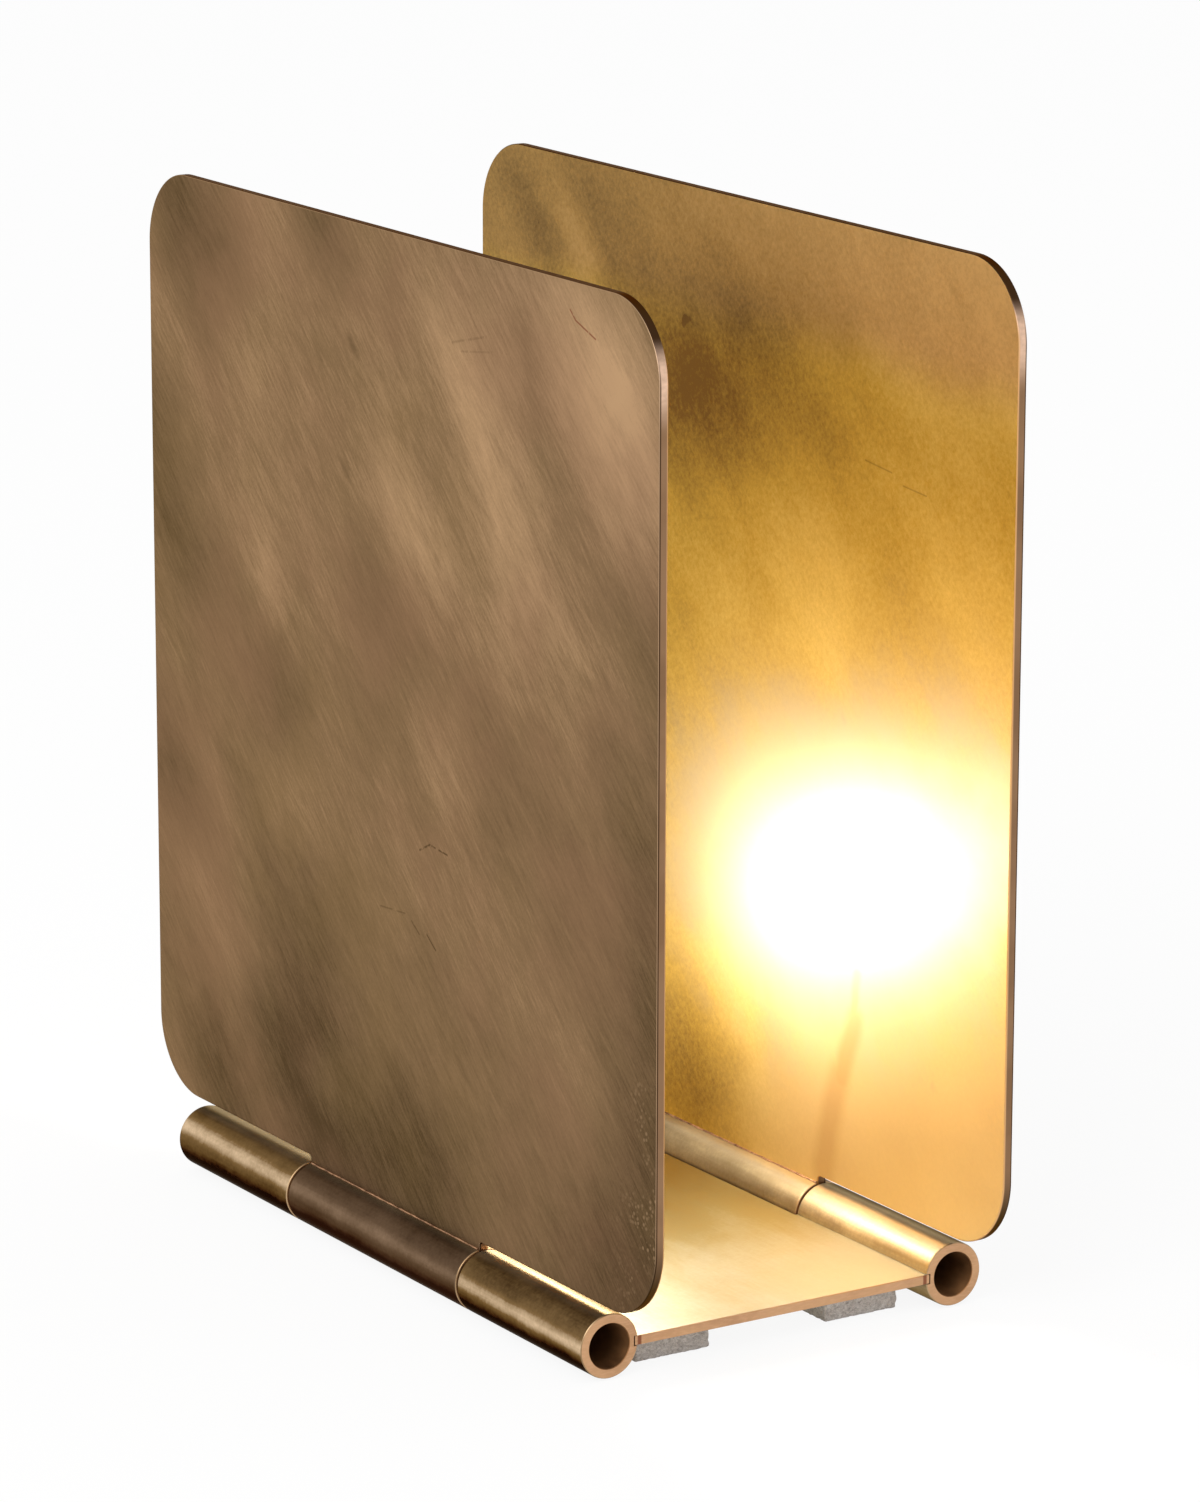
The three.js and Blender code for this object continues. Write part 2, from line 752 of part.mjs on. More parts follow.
// The outline of the globe and neck for one side of the glass, from the neck up to the top.
function glassOutline(neckRadius, radius) {
  const join = new THREE.Vector2(
    radius * Math.sin(shoulderAngle),
    globeCentre - radius * Math.cos(shoulderAngle),
  );
  const handle = (join.y - neckTop) / 2;
  const curve = new THREE.CubicBezierCurve(
    new THREE.Vector2(neckRadius, neckTop),
    new THREE.Vector2(neckRadius, neckTop + handle),
    new THREE.Vector2(
      join.x - handle * Math.cos(shoulderAngle),
      join.y - handle * Math.sin(shoulderAngle),
    ),
    join,
  );
  const points = [[neckRadius, neckBottom]];
  curve.getPoints(neckSteps).forEach((point) => points.push([point.x, point.y]));
  for (let step = 1; step < globeSteps; step += 1) {
    const angle = shoulderAngle + (Math.PI - shoulderAngle) * (step / globeSteps);
    points.push([radius * Math.sin(angle), globeCentre - radius * Math.cos(angle)]);
  }
  points.push([0, globeCentre + radius]);
  return points;
}

function bulbGlass() {
  const outside = glassOutline(bulbNeckRadius, globeRadius);
  const inside = glassOutline(bulbNeckRadius - glassWall, globeRadius - glassWall).reverse();
  return turnedUpright([...inside, ...outside], glassSides);
}

function bulbCap() {
  const foot = bulbCapFootRadius;
  const straightBottom = bulbCapBottom + bulbCapFootHeight;
  return turnedUpright([
    [foot, bulbCapBottom],
    [bulbCapRadius, straightBottom],
    [bulbCapRadius, bulbCapStraightTop],
    [flareOuterRadius, bulbCapFlareTop],
    [flareOuterRadius, bulbCapTop],
    [flareInnerRadius, bulbCapTop],
    [flareInnerRadius, bulbCapFlareTop + bulbCapWall / 2],
    [bulbCapRadius - bulbCapWall, bulbCapStraightTop + bulbCapWall / 2],
    [bulbCapRadius - bulbCapWall, straightBottom + bulbCapWall / 2],
    [foot, bulbCapBottom + bulbCapWall],
  ], smallSides);
}

function bulbInsulator() {
  return turnedUpright([
    [0, insulatorBottom],
    [insulatorFootRadius, insulatorBottom],
    [bulbCapFootRadius, insulatorTop],
    [0, insulatorTop],
  ], smallSides);
}

function bulbTip() {
  return turnedUpright([
    [0, tipBottom],
    [tipRadius / 2, tipBottom],
    [tipRadius, tipBottom + tipThickness / 2],
    [tipRadius, tipBottom + tipThickness],
    [0, tipBottom + tipThickness],
  ], screwSides);
}

// The glass stem: a flared foot inside the neck and a slim post that carries the lead wires.
const stemTop = neckBottom + stemHeight;

function bulbStem() {
  const flare = bowlPoints(stemRadius, bulbNeckRadius - glassWall - seatGap, 0, stemFlareHeight);
  const outline = flare.map(([radius, rise]) => [radius, neckBottom + stemFlareHeight - rise]);
  const rimRadius = bulbNeckRadius - glassWall - seatGap;
  const upper = outline.reverse().map(([radius, height]) => [radius, height + stemRimThickness]);
  return turnedUpright([
    [0, neckBottom],
    [rimRadius, neckBottom],
    ...upper,
    [stemRadius, stemTop],
    [0, stemTop],
  ], screwSides);
}

// A round wire along a curve.
function wire(curve, radius, steps) {
  const section = new THREE.Shape();
  section.absarc(0, 0, radius, 0, 2 * Math.PI);
  const settings = { steps, curveSegments: wireSides, extrudePath: curve };
  return closed(new THREE.ExtrudeGeometry(section, settings));
}

const leadBottom = stemTop + solderGap;
const leadTop = leadBottom + leadHeight;

function bulbLead(across) {
  const line = new THREE.LineCurve3(
    new THREE.Vector3(across * leadFootSpread, 0, leadBottom),
    new THREE.Vector3(across * leadSpread, 0, leadTop),
  );
  return wire(line, leadRadius, 1);
}

// The filament: an arch between the two lead wires that sags a little in its middle.
function bulbFilament() {
  const height = leadTop + seatGap + filamentRadius;
  return wire(
    new THREE.QuadraticBezierCurve3(
      new THREE.Vector3(-leadSpread, 0, height),
      new THREE.Vector3(0, leadSpread, height + filamentDrop),
      new THREE.Vector3(leadSpread, 0, height),
    ),
    filamentRadius,
    filamentSteps,
  );
}

// Assembly

const lamp = new THREE.Group();

addPiece(lamp, 'base_plate', basePlate(), brass);

const sides = [{ side: 'left', across: -1 }, { side: 'right', across: 1 }];
const ends = [{ end: 'front', lengthways: -1 }, { end: 'rear', lengthways: 1 }];

for (const { side, across } of sides) {
  const hinge = new THREE.Group();
  hinge.position.set(across * hingeSpacing / 2, 0, axisHeight);
  lamp.add(hinge);
  addPiece(hinge, `${side}_leaf`, leaf(), patinaBrass);
  addPiece(hinge, `${side}_centre_knuckle`, centreKnuckle(), patinaBrass);
  addPiece(hinge, `${side}_hinge_pin`, hingePin(), steel);
  springNames.forEach((name, place) => {
    addPiece(hinge, `${side}_${name}_disc_spring`, discSpring(place), steel);
  });
  addPiece(hinge, `${side}_lock_nut`, lockNut(), steel);
  for (const { end, lengthways } of ends) {
    addPiece(hinge, `${side}_${end}_knuckle`, outerKnuckle(lengthways, -across), brass);
    addPiece(hinge, `${side}_${end}_bush`, bush(lengthways), bronze);
    addPiece(hinge, `${side}_${end}_plug`, plug(lengthways), brass);
    addPiece(hinge, `${side}_${end}_friction_washer`, frictionWasher(lengthways), darkFibre);
    addPiece(hinge, `${side}_${end}_grub_screw`, grubScrew(lengthways), steel);
    addPiece(lamp, `${side}_${end}_felt_pad`, feltPad(across, lengthways), felt);
  }
  addPiece(lamp, `${side}_terminal_screw`, terminalScrew(across), steel);
  addPiece(lamp, `${side}_bulb_lead`, bulbLead(across), nickel);
}

const washer = uprightRing(
  nippleWasherRadius, nippleHoleRadius, washerBottom, earthTagBottom, smallSides,
);
const nipple = uprightRing(nippleRadius, nippleBoreRadius, nippleBottom, nippleTop, smallSides);

addPiece(lamp, 'nipple', nipple, steel);
addPiece(lamp, 'earth_tag', earthTag(), brass);
addPiece(lamp, 'nipple_washer', washer, steel);
addPiece(lamp, 'nipple_nut', nippleNut(), steel);
addPiece(lamp, 'inlet_bush', inletBush(), blackPlastic);
addPiece(lamp, 'holder_cap', holderCap(), brass);
addPiece(lamp, 'holder_skirt', holderSkirt(), brass);
addPiece(lamp, 'holder_core', holderCore(), porcelain);
addPiece(lamp, 'screw_contact', screwContact(), brass);
addPiece(lamp, 'centre_contact', centreContact(), brass);
addPiece(lamp, 'bulb_glass', bulbGlass(), opalGlass);
addPiece(lamp, 'bulb_cap', bulbCap(), brass);
addPiece(lamp, 'bulb_insulator', bulbInsulator(), blackPlastic);
addPiece(lamp, 'bulb_tip', bulbTip(), nickel);
addPiece(lamp, 'bulb_stem', bulbStem(), clearGlass);
addPiece(lamp, 'bulb_filament', bulbFilament(), tungsten);

export default lamp;
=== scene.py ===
"""A brass table lamp shaped like a hinge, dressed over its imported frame.

Each piece is a surface worked out with numpy on a grid. Its place is in its mesh, in metres.
"""

import math
from functools import reduce

import bmesh
import bpy
import numpy as np
from bpy.props import (
    FloatProperty,
    FloatVectorProperty,
    IntProperty,
    PointerProperty,
)
from mathutils import Matrix, Vector


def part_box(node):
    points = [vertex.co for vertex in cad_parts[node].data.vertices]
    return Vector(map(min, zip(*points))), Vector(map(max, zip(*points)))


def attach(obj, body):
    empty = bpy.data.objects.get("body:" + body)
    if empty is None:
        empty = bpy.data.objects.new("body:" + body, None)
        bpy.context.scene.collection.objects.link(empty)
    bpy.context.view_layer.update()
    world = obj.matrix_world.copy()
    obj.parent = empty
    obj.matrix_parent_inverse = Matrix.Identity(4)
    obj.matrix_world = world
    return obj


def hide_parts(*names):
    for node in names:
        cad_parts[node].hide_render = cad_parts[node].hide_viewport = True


bl_info = {
    "name": "Hinged Brass Lamp",
    "version": (1, 0, 0),
    "blender": (4, 5, 0),
    "location": "3D View > Sidebar > Hinged Lamp",
    "description": "Pieces, finishes and stage of a brass lamp shaped like a hinge",
    "category": "Object",
}

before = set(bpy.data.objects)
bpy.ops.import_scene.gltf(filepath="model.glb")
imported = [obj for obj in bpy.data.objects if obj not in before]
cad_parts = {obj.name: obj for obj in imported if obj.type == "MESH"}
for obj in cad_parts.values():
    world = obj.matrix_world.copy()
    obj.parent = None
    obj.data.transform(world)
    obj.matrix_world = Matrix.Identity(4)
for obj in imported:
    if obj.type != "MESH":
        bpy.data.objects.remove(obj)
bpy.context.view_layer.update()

MM = 0.001
SIDES = (("left", -1), ("right", 1))
ENDS = (("front", -1), ("rear", 1))

# A face lies flat in its sheet where its normal has this share along the sheet's own
FLAT = 0.98

# The cosine of 45 degrees, in which the leaves are brushed
DIAGONAL = 0.7071

# Points nearer than this are one, and an edge that turns more than this is drawn sharp
MERGE_DISTANCE = 0.4e-6
SHARP_ANGLE = math.radians(38)


def linear(red, green, blue):
    """A display colour of 0 to 255 as the linear colour that shaders take."""
    display = np.array([red, green, blue]) / 255
    low = display / 12.92
    high = ((display + 0.055) / 1.055) ** 2.4
    return tuple(float(c) for c in np.where(display <= 0.04045, low, high))


def opaque(colour):
    return (*colour[:3], 1.0)


# Sizes and colours that a user would change


def length(name, description, default):
    return FloatProperty(name=name, description=description, default=default, unit="LENGTH")


def colour(name, description, default):
    return FloatVectorProperty(
        name=name, description=description, default=default, subtype="COLOR", min=0, max=1)


knuckle_low, knuckle_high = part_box("right_front_knuckle")
centre_low, centre_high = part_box("right_centre_knuckle")
leaf_low, leaf_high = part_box("right_leaf")
plate_low, plate_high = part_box("base_plate")

# The right hinge's axis, the tubes' radius and the sheets' thickness, as the CAD has them
AXIS_X = (centre_low.x + centre_high.x) / 2
AXIS_Z = (knuckle_low.z + knuckle_high.z) / 2
TUBE = (knuckle_high.z - knuckle_low.z) / 2
SHEET = plate_high.z - plate_low.z


class HingeSizes(bpy.types.PropertyGroup):
    """The two knuckle hinges."""

    axis_x: length("Hinge axis", "From the middle of the lamp", AXIS_X)
    axis_z: length("Axis height", "Above the table", AXIS_Z)
    tube: length("Tube radius", "Outer radius of a knuckle", TUBE)
    bore: length("Bore radius", "Inner radius of a knuckle", 7 * MM)
    rim: length("Rim rounding", "Rounded edge at a knuckle's end", 0.5 * MM)
    groove_floor: length("Groove floor", "From the axis to a groove's floor", 8.5 * MM)
    groove_half: length("Groove half width", "Half the width of a groove", 1.6 * MM)
    seam: length("Seam", "Where the fixed knuckles start, from the middle", -knuckle_high.y)
    end: length("Tube end", "Where the tubes end, from the middle", -knuckle_low.y)
    centre: length("Centre knuckle", "Half its length", centre_high.y)
    pin: length("Pin radius", "Radius of the pin's shank", 5.5 * MM)
    points: IntProperty(name="Round points", description="Points round a tube", default=144, min=24)


class LeafSizes(bpy.types.PropertyGroup):
    """The two leaves and the base plate."""

    half_width: length("Half width", "Half the leaf's width along the hinge", leaf_high.y)
    top: length("Top", "Height of the leaf's upper edge", leaf_high.z)
    bottom: length("Bottom", "Height of the leaf's lower edge", 22.9 * MM)
    tab: length("Tab foot", "Height of the tab's foot in the centre knuckle", leaf_low.z)
    corner: length("Corner radius", "Radius of the leaf's corners", 24 * MM)
    relief: length("Relief", "Cut corner between tab and lower edge", 0.8 * MM)
    thickness: length("Thickness", "Thickness of leaf and plate", SHEET)
    edge: length("Edge rounding", "Rounded arris of the sheet", 0.35 * MM)


class LampColours(bpy.types.PropertyGroup):
    """Colours of the finishes."""

    patina_dark: colour("Patina, dark", "Darkest brown of the patina", linear(74, 58, 42))
    patina: colour("Patina", "Middle brown of the patina", linear(138, 111, 82))
    patina_light: colour("Patina, light", "Lightest tan of the patina", linear(196, 160, 122))
    patina_rosy: colour("Patina, rosy", "Rosy brown in the patina", linear(148, 112, 88))
    inner_dark: colour("Inner face, dark", "Dark gold of the inner faces", linear(124, 90, 40))
    inner: colour("Inner face", "Gold of the inner faces", linear(196, 162, 70))
    inner_light: colour("Inner face, light", "Light gold of the inner faces", linear(228, 198, 114))
    # The pale colour of the painted highlight where the bulb's glow is seen.
    painted_glow: colour("Inner face, pale", "Pale brass round the bulb", linear(202, 176, 122))
    # Reached on the tubes' underside, as painted shade, and in dark stains.
    tube_dark: colour("Tube, dark", "Oxidised brown of the tubes", linear(52, 37, 25))
    tube: colour("Tube", "Satin brass of the tubes", linear(134, 107, 72))
    # The colour of the painted highlight on the tubes.
    tube_highlight: colour("Tube, light", "Rubbed brass of the tubes", linear(232, 204, 168))
    tube_gold: colour("Tube, gold", "Inner side of the tubes", linear(170, 149, 114))
    plate_dark: colour("Plate, dark", "Deepest gold of the base plate", linear(154, 122, 54))
    plate: colour("Plate", "Golden brass of the base plate", linear(150, 136, 92))
    plate_light: colour("Plate, light", "Palest brass of the base plate", linear(177, 174, 158))
    grazing: colour("Grazing tint", "Brass seen along its surface", linear(230, 212, 186))
    copper: colour("Cut edge", "Coppery cut edges and tube ends", linear(200, 156, 116))
    copper_dark: colour("Cut edge, dark", "Stains on cut edges", linear(158, 116, 84))
    felt: colour("Felt", "Grey of the felt pads", linear(202, 192, 187))
    glow: colour("Glow", "Warm light of the bulb", (1.0, 0.95, 0.86))


class StageSettings(bpy.types.PropertyGroup):
    """Light, floor and camera."""

    glow: FloatProperty(name="Glow", description="Strength of the bulb's light", default=43, min=0)
    key: FloatProperty(name="Key lamp", description="Power of the key lamp", default=22, unit="POWER")
    fill: FloatProperty(name="Fill", description="World light on matt surfaces", default=0.85)
    lens: FloatProperty(name="Lens", description="Focal length, mm", default=152.58)
    place: FloatVectorProperty(
        name="Camera place", description="Where the camera stands", subtype="XYZ", unit="LENGTH",
        default=(-1.01758, -1.61640, 0.63415))
    aim: FloatVectorProperty(
        name="Camera aim", description="What the camera looks at", subtype="XYZ", unit="LENGTH",
        default=(0.011846, -0.00004, 0.155325))
    roll: FloatProperty(
        name="Camera roll", description="Turn about the view line", subtype="ANGLE",
        default=math.radians(0.137))


# Surfaces


def shell(points, round_rows=False, lids=False):
    """A grid of points as (points, faces). Each row is a ring, with quads between it and the
    next, also from the last to the first if the rows go round too. With lids, the first and
    the last row are filled."""
    rows, columns = points.shape[:2]
    row = np.arange(rows if round_rows else rows - 1)
    row, column = np.meshgrid(row, np.arange(columns), indexing="ij")
    next_row = (row + 1) % rows
    next_column = (column + 1) % columns
    quads = np.stack([
        row * columns + column,
        row * columns + next_column,
        next_row * columns + next_column,
        next_row * columns + column,
    ], axis=-1)
    faces = quads.reshape(-1, 4).tolist()
    if lids:
        faces.append(list(range(columns)))
        faces.append(list(range((rows - 1) * columns, rows * columns)))
    return points.reshape(-1, 3), faces


def rounded(profile, radius, steps=3, is_open=False):
    """Each corner of a profile becomes a small curve. It leaves the corner's two sides at the
    rounding's tangent length, or at 0.4 of the side if that is less, and runs between them as
    a quadratic Bezier curve with the corner as its middle point. One more point on each side,
    0.08 mm off or less, keeps the flat faces flat. An open profile keeps its two ends."""
    corner = np.asarray(profile, float)
    before = np.roll(corner, 1, axis=0) - corner
    after = np.roll(corner, -1, axis=0) - corner
    length_before = np.linalg.norm(before, axis=1, keepdims=True)
    length_after = np.linalg.norm(after, axis=1, keepdims=True)
    before = before / length_before
    after = after / length_after
    half_angle = np.arccos(np.clip((before * after).sum(1, keepdims=True), -1, 1)) / 2
    reach = radius / np.maximum(np.tan(half_angle), 1e-6)
    reach = np.minimum(reach, 0.4 * np.minimum(length_before, length_after))
    room = 0.08 * np.minimum(length_before, length_after)
    hold = reach + np.minimum(0.08 * MM, room)
    start = corner + before * reach
    end = corner + after * reach
    t = np.linspace(0, 1, steps + 1)[None, :, None]
    curve = (1 - t) ** 2 * start[:, None] + 2 * t * (1 - t) * corner[:, None] + t ** 2 * end[:, None]
    first = (corner + before * hold)[:, None]
    last = (corner + after * hold)[:, None]
    points = np.concatenate([first, curve, last], axis=1)
    if is_open:
        points[0] = corner[0]
        points[-1] = corner[-1]
    return points.reshape(-1, 2)


def turned(profile, sides, centre=(0, 0, 0), axis="Z", is_open=False):
    """A profile of (radius, along) carried round an axis: at angle a a point lies at
    (radius cos a, radius sin a, along). The radius may also be given for each angle."""
    radius, along = profile[0], profile[1]
    angle = np.arange(sides) * (2 * math.pi / sides)
    if np.ndim(radius) == 1:
        radius = radius[:, None]
    radius = np.broadcast_to(radius, (len(along), sides))
    along = np.broadcast_to(along[:, None], radius.shape)
    across, up = radius * np.cos(angle), radius * np.sin(angle)
    order = (across, up, along) if axis == "Z" else (across, along, up)
    points = np.stack(order, axis=-1) + np.asarray(centre, float)
    return shell(points, round_rows=not is_open)


def threaded(radius, along, sides, pitch, depth, start, end):
    """The same radius at every angle, less a thread between start and end along the axis. The
    thread's depth follows a raised cosine of (along / pitch - turn) and fades at both ends."""
    turn = np.arange(sides)[None, :] / sides
    wave = 0.5 - 0.5 * np.cos(2 * math.pi * (along[:, None] / pitch - turn))
    near = np.minimum(along[:, None] - start, end - along[:, None]) / (0.35 * pitch)
    return radius[:, None] - depth * wave * np.clip(near, 0, 1)


def inset(outline, distance):
    """A closed outline moved inwards: each corner moves along the sum of its two side normals,
    divided by one plus their product, so that both sides move by the distance."""
    after = np.roll(outline, -1, axis=0) - outline
    after = after / np.linalg.norm(after, axis=1, keepdims=True)
    normal_after = np.stack([-after[:, 1], after[:, 0]], axis=1)
    normal_before = np.roll(normal_after, 1, axis=0)
    share = 1 + (normal_after * normal_before).sum(1, keepdims=True)
    return outline + distance * (normal_after + normal_before) / share


def round_over(radius):
    """A quarter circle over an edge, from the flat face to the side: how far in from the side
    its points lie, and how far down from the face."""
    quarter = np.linspace(0, math.pi / 2, 5)
    return radius - radius * np.sin(quarter), radius - radius * np.cos(quarter)


def round_corners(low, high, radius, steps):
    """Four quarter circles in the corners of a rectangle, anticlockwise from the lower right.
    Each is the first one, a circle's arc from 0 to 90 degrees, after some quarter turns."""
    angle = np.linspace(0, math.pi / 2, steps)
    arc = np.stack([np.cos(angle), np.sin(angle)], axis=1) * radius
    quarter_turn = np.array([[0, 1], [-1, 0]])
    left, bottom = low[0] + radius, low[1] + radius
    right, top = high[0] - radius, high[1] - radius
    centres = ((right, bottom, 3), (right, top, 0), (left, top, 1), (left, bottom, 2))
    return [arc @ np.linalg.matrix_power(quarter_turn, k) + (u, v) for u, v, k in centres]


def lying_at(height):
    """Lays an outline in (x, y) at a height, for a flat sheet."""

    def place(loop, offset):
        return np.column_stack([loop, np.full(len(loop), height + offset)])

    return place


def sheet(outline, thickness, edge, place):
    """An outline carried through a sheet's thickness. Across the edge it follows a quarter
    circle in and out of the rounding, with a row on each side that keeps the faces flat.
    place puts (outline, offset from the middle) in the lamp's own space."""
    half = thickness / 2
    inward, down = round_over(edge)
    depth = np.concatenate([[edge + 0.25 * MM], inward, [0]])
    offset = np.concatenate([[0], down, [edge + 0.15 * MM]]) - half
    depth = np.concatenate([depth, depth[::-1]])
    offset = np.concatenate([offset, -offset[::-1]])
    rows = [place(inset(outline, d), o) for d, o in zip(depth, offset)]
    return shell(np.stack(rows), lids=True)


def pipe(path, radius, sides):
    """A round wire: a circle carried along a path. Its plane at each point is square to the
    path there, and turns as little as it can from one point to the next."""
    along = np.gradient(path, axis=0)
    along = along / np.linalg.norm(along, axis=1, keepdims=True)
    reference = np.array([0.0, 0.0, 1.0])
    if abs((along @ reference).mean()) > 0.9:
        reference = np.array([0.0, 1.0, 0.0])
    first = np.cross(along, reference)
    first = first / np.linalg.norm(first, axis=1, keepdims=True)
    second = np.cross(along, first)
    angle = np.arange(sides) * (2 * math.pi / sides)
    ring = first[:, None] * np.cos(angle)[None, :, None] + second[:, None] * np.sin(angle)[None, :, None]
    return shell(path[:, None] + radius * ring, lids=True)


def ripple(points, seed, size, waves=24):
    """Smooth noise from -1 to 1 or so: the mean of sine waves in seeded directions, with
    lengths round the given size."""
    chance = np.random.default_rng(seed)
    direction = chance.normal(size=(waves, 3))
    direction = direction / np.linalg.norm(direction, axis=1, keepdims=True)
    pace = 2 * math.pi / (size * chance.uniform(0.6, 1.7, waves))
    phase = chance.uniform(0, 2 * math.pi, waves)
    return np.sin(points @ (direction * pace[:, None]).T + phase).sum(-1) / math.sqrt(waves)


# Pieces


def make_mesh(name, parts):
    """One closed mesh from (points, faces) parts, with poles merged and normals outwards."""
    points, faces, count = [], [], 0
    for part_points, part_faces in parts:
        points.append(part_points)
        faces.extend([[corner + count for corner in face] for face in part_faces])
        count += len(part_points)
    mesh = bpy.data.meshes.new(name)
    mesh.from_pydata(np.concatenate(points).tolist(), [], faces)
    work = bmesh.new()
    work.from_mesh(mesh)
    bmesh.ops.remove_doubles(work, verts=work.verts, dist=MERGE_DISTANCE)
    bmesh.ops.recalc_face_normals(work, faces=work.faces)
    work.to_mesh(mesh)
    work.free()
    return mesh


def drilled(mesh, tools, finish):
    """The mesh with the tools' shells cut out of it. The cut walls take that material slot."""
    target = bpy.data.objects.new("drilled", mesh)
    bpy.context.scene.collection.objects.link(target)
    cutter_mesh = make_mesh("drill", tools)
    for _ in range(finish + 1):
        cutter_mesh.materials.append(None)
    cutter_mesh.polygons.foreach_set("material_index", [finish] * len(cutter_mesh.polygons))
    cutter = bpy.data.objects.new("drill", cutter_mesh)
    bpy.context.scene.collection.objects.link(cutter)
    cut = target.modifiers.new("cut", "BOOLEAN")
    cut.operation = "DIFFERENCE"
    cut.solver = "EXACT"
    cut.object = cutter
    graph = bpy.context.evaluated_depsgraph_get()
    made = bpy.data.meshes.new_from_object(target.evaluated_get(graph))
    bpy.data.objects.remove(target)
    bpy.data.objects.remove(cutter)
    return made


def face_facts(mesh):
    """The middle and the normal of each face."""
    count = len(mesh.polygons)
    middle = np.zeros(count * 3)
    normal = np.zeros(count * 3)
    mesh.polygons.foreach_get("center", middle)
    mesh.polygons.foreach_get("normal", normal)
    return middle.reshape(-1, 3), normal.reshape(-1, 3)


def add_piece(node, kind, slot, parts, used=None, choose=None, holes=None, hole_finish=0,
              body="base", alone=True):
    """A piece that rides on a body and takes its finishes, or else the one named as its slot.
    It stands for a CAD node, unless alone is false: then it is a detail on that node. choose
    gives the finish of each face from the faces' middles and normals."""
    name = f"{node}_{kind}"
    mesh = make_mesh(name, parts)
    for one in used or (slot,):
        mesh.materials.append(finish(one))
    if choose is not None:
        mesh.polygons.foreach_set("material_index", choose(*face_facts(mesh)).astype(np.int32))
    if holes is not None:
        mesh = drilled(mesh, holes, hole_finish)
    mesh.name = name
    mesh.shade_smooth()
    mesh.set_sharp_from_angle(angle=SHARP_ANGLE)
    piece = bpy.data.objects.new(name, mesh)
    bpy.context.scene.collection.objects.link(piece)
    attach(piece, body)
    if alone:
        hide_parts(node)
    return piece


def leaf_outline(sizes, half_centre):
    """The leaf's outline in (y, z), anticlockwise: a rectangle with quarter circles at its four
    corners, and the tab below between its two cut corners."""
    half, bottom = sizes.half_width, sizes.bottom
    arcs = round_corners((-half, bottom), (half, sizes.top), sizes.corner, 33)
    right = np.array([(half_centre, sizes.tab), (half_centre, bottom - sizes.relief),
                      (half_centre + sizes.relief, bottom)])
    left = right[::-1] * (-1, 1)
    return np.concatenate([right, *arcs, left])


def plate_outline(hinge):
    """The plate's outline in (x, y), anticlockwise: long edges that reach into the outer
    knuckles' grooves, cut back beside the centre knuckles."""
    low, high, seam = plate_low, plate_high, hinge.seam
    cut_back = hinge.axis_x - hinge.tube - 0.6 * MM
    return np.array([
        (low.x, low.y), (high.x, low.y), (high.x, -seam), (cut_back, -seam), (cut_back, seam),
        (high.x, seam), (high.x, high.y), (low.x, high.y), (low.x, seam), (-cut_back, seam),
        (-cut_back, -seam), (low.x, -seam),
    ])


def knuckle(hinge, low, high, towards, centre_x):
    """A length of tube with a groove: the section is a circle with a notch, carried along the
    tube, in over the rounded rim, across the end and back through the bore. towards is the
    groove's direction in (x, z). A row inside the notch's floor is a plain circle."""
    rim, tube, bore, floor = hinge.rim, hinge.tube, hinge.bore, hinge.groove_floor
    inward, down = round_over(rim)
    bevel = 0.2 * MM
    end_face = [bore + bevel, bore + 0.35 * MM, floor - 0.1 * MM, tube - rim - 0.2 * MM]
    side = np.concatenate([[bore, bore], end_face, tube - inward, [tube]])
    depth = np.concatenate([[0.7 * MM, bevel, 0, 0, 0, 0], down, [rim + 0.3 * MM]])
    radius = np.concatenate([side, side[::-1]])
    along = np.concatenate([low + depth, high - depth[::-1]])
    t = np.linspace(0, 1, hinge.points)
    half = hinge.groove_half
    notched = radius > floor
    opening = np.where(notched, np.arcsin(half / np.maximum(radius, floor)), math.radians(11.5))
    angle = opening[:, None] + t[None, :] * (2 * math.pi - 2 * opening[:, None])
    a = radius[:, None] * np.cos(angle)
    b = radius[:, None] * np.sin(angle)
    notch_b = np.array([[-half, -half / 3, half / 3, half]])
    notch_angle = np.radians([-10.0, -3.3, 3.3, 10.0])
    notch_a = np.where(notched[:, None], floor, radius[:, None] * np.cos(notch_angle))
    notch_b = np.where(notched[:, None], notch_b, radius[:, None] * np.sin(notch_angle))
    a = np.concatenate([a, notch_a], axis=1)
    b = np.concatenate([b, notch_b], axis=1)
    along = np.broadcast_to(along[:, None], a.shape)
    x = centre_x + a * towards[0] + b * towards[1]
    z = hinge.axis_z + a * towards[1] + b * towards[0]
    return shell(np.stack([x, along, z], axis=-1), round_rows=True)


# Finishes


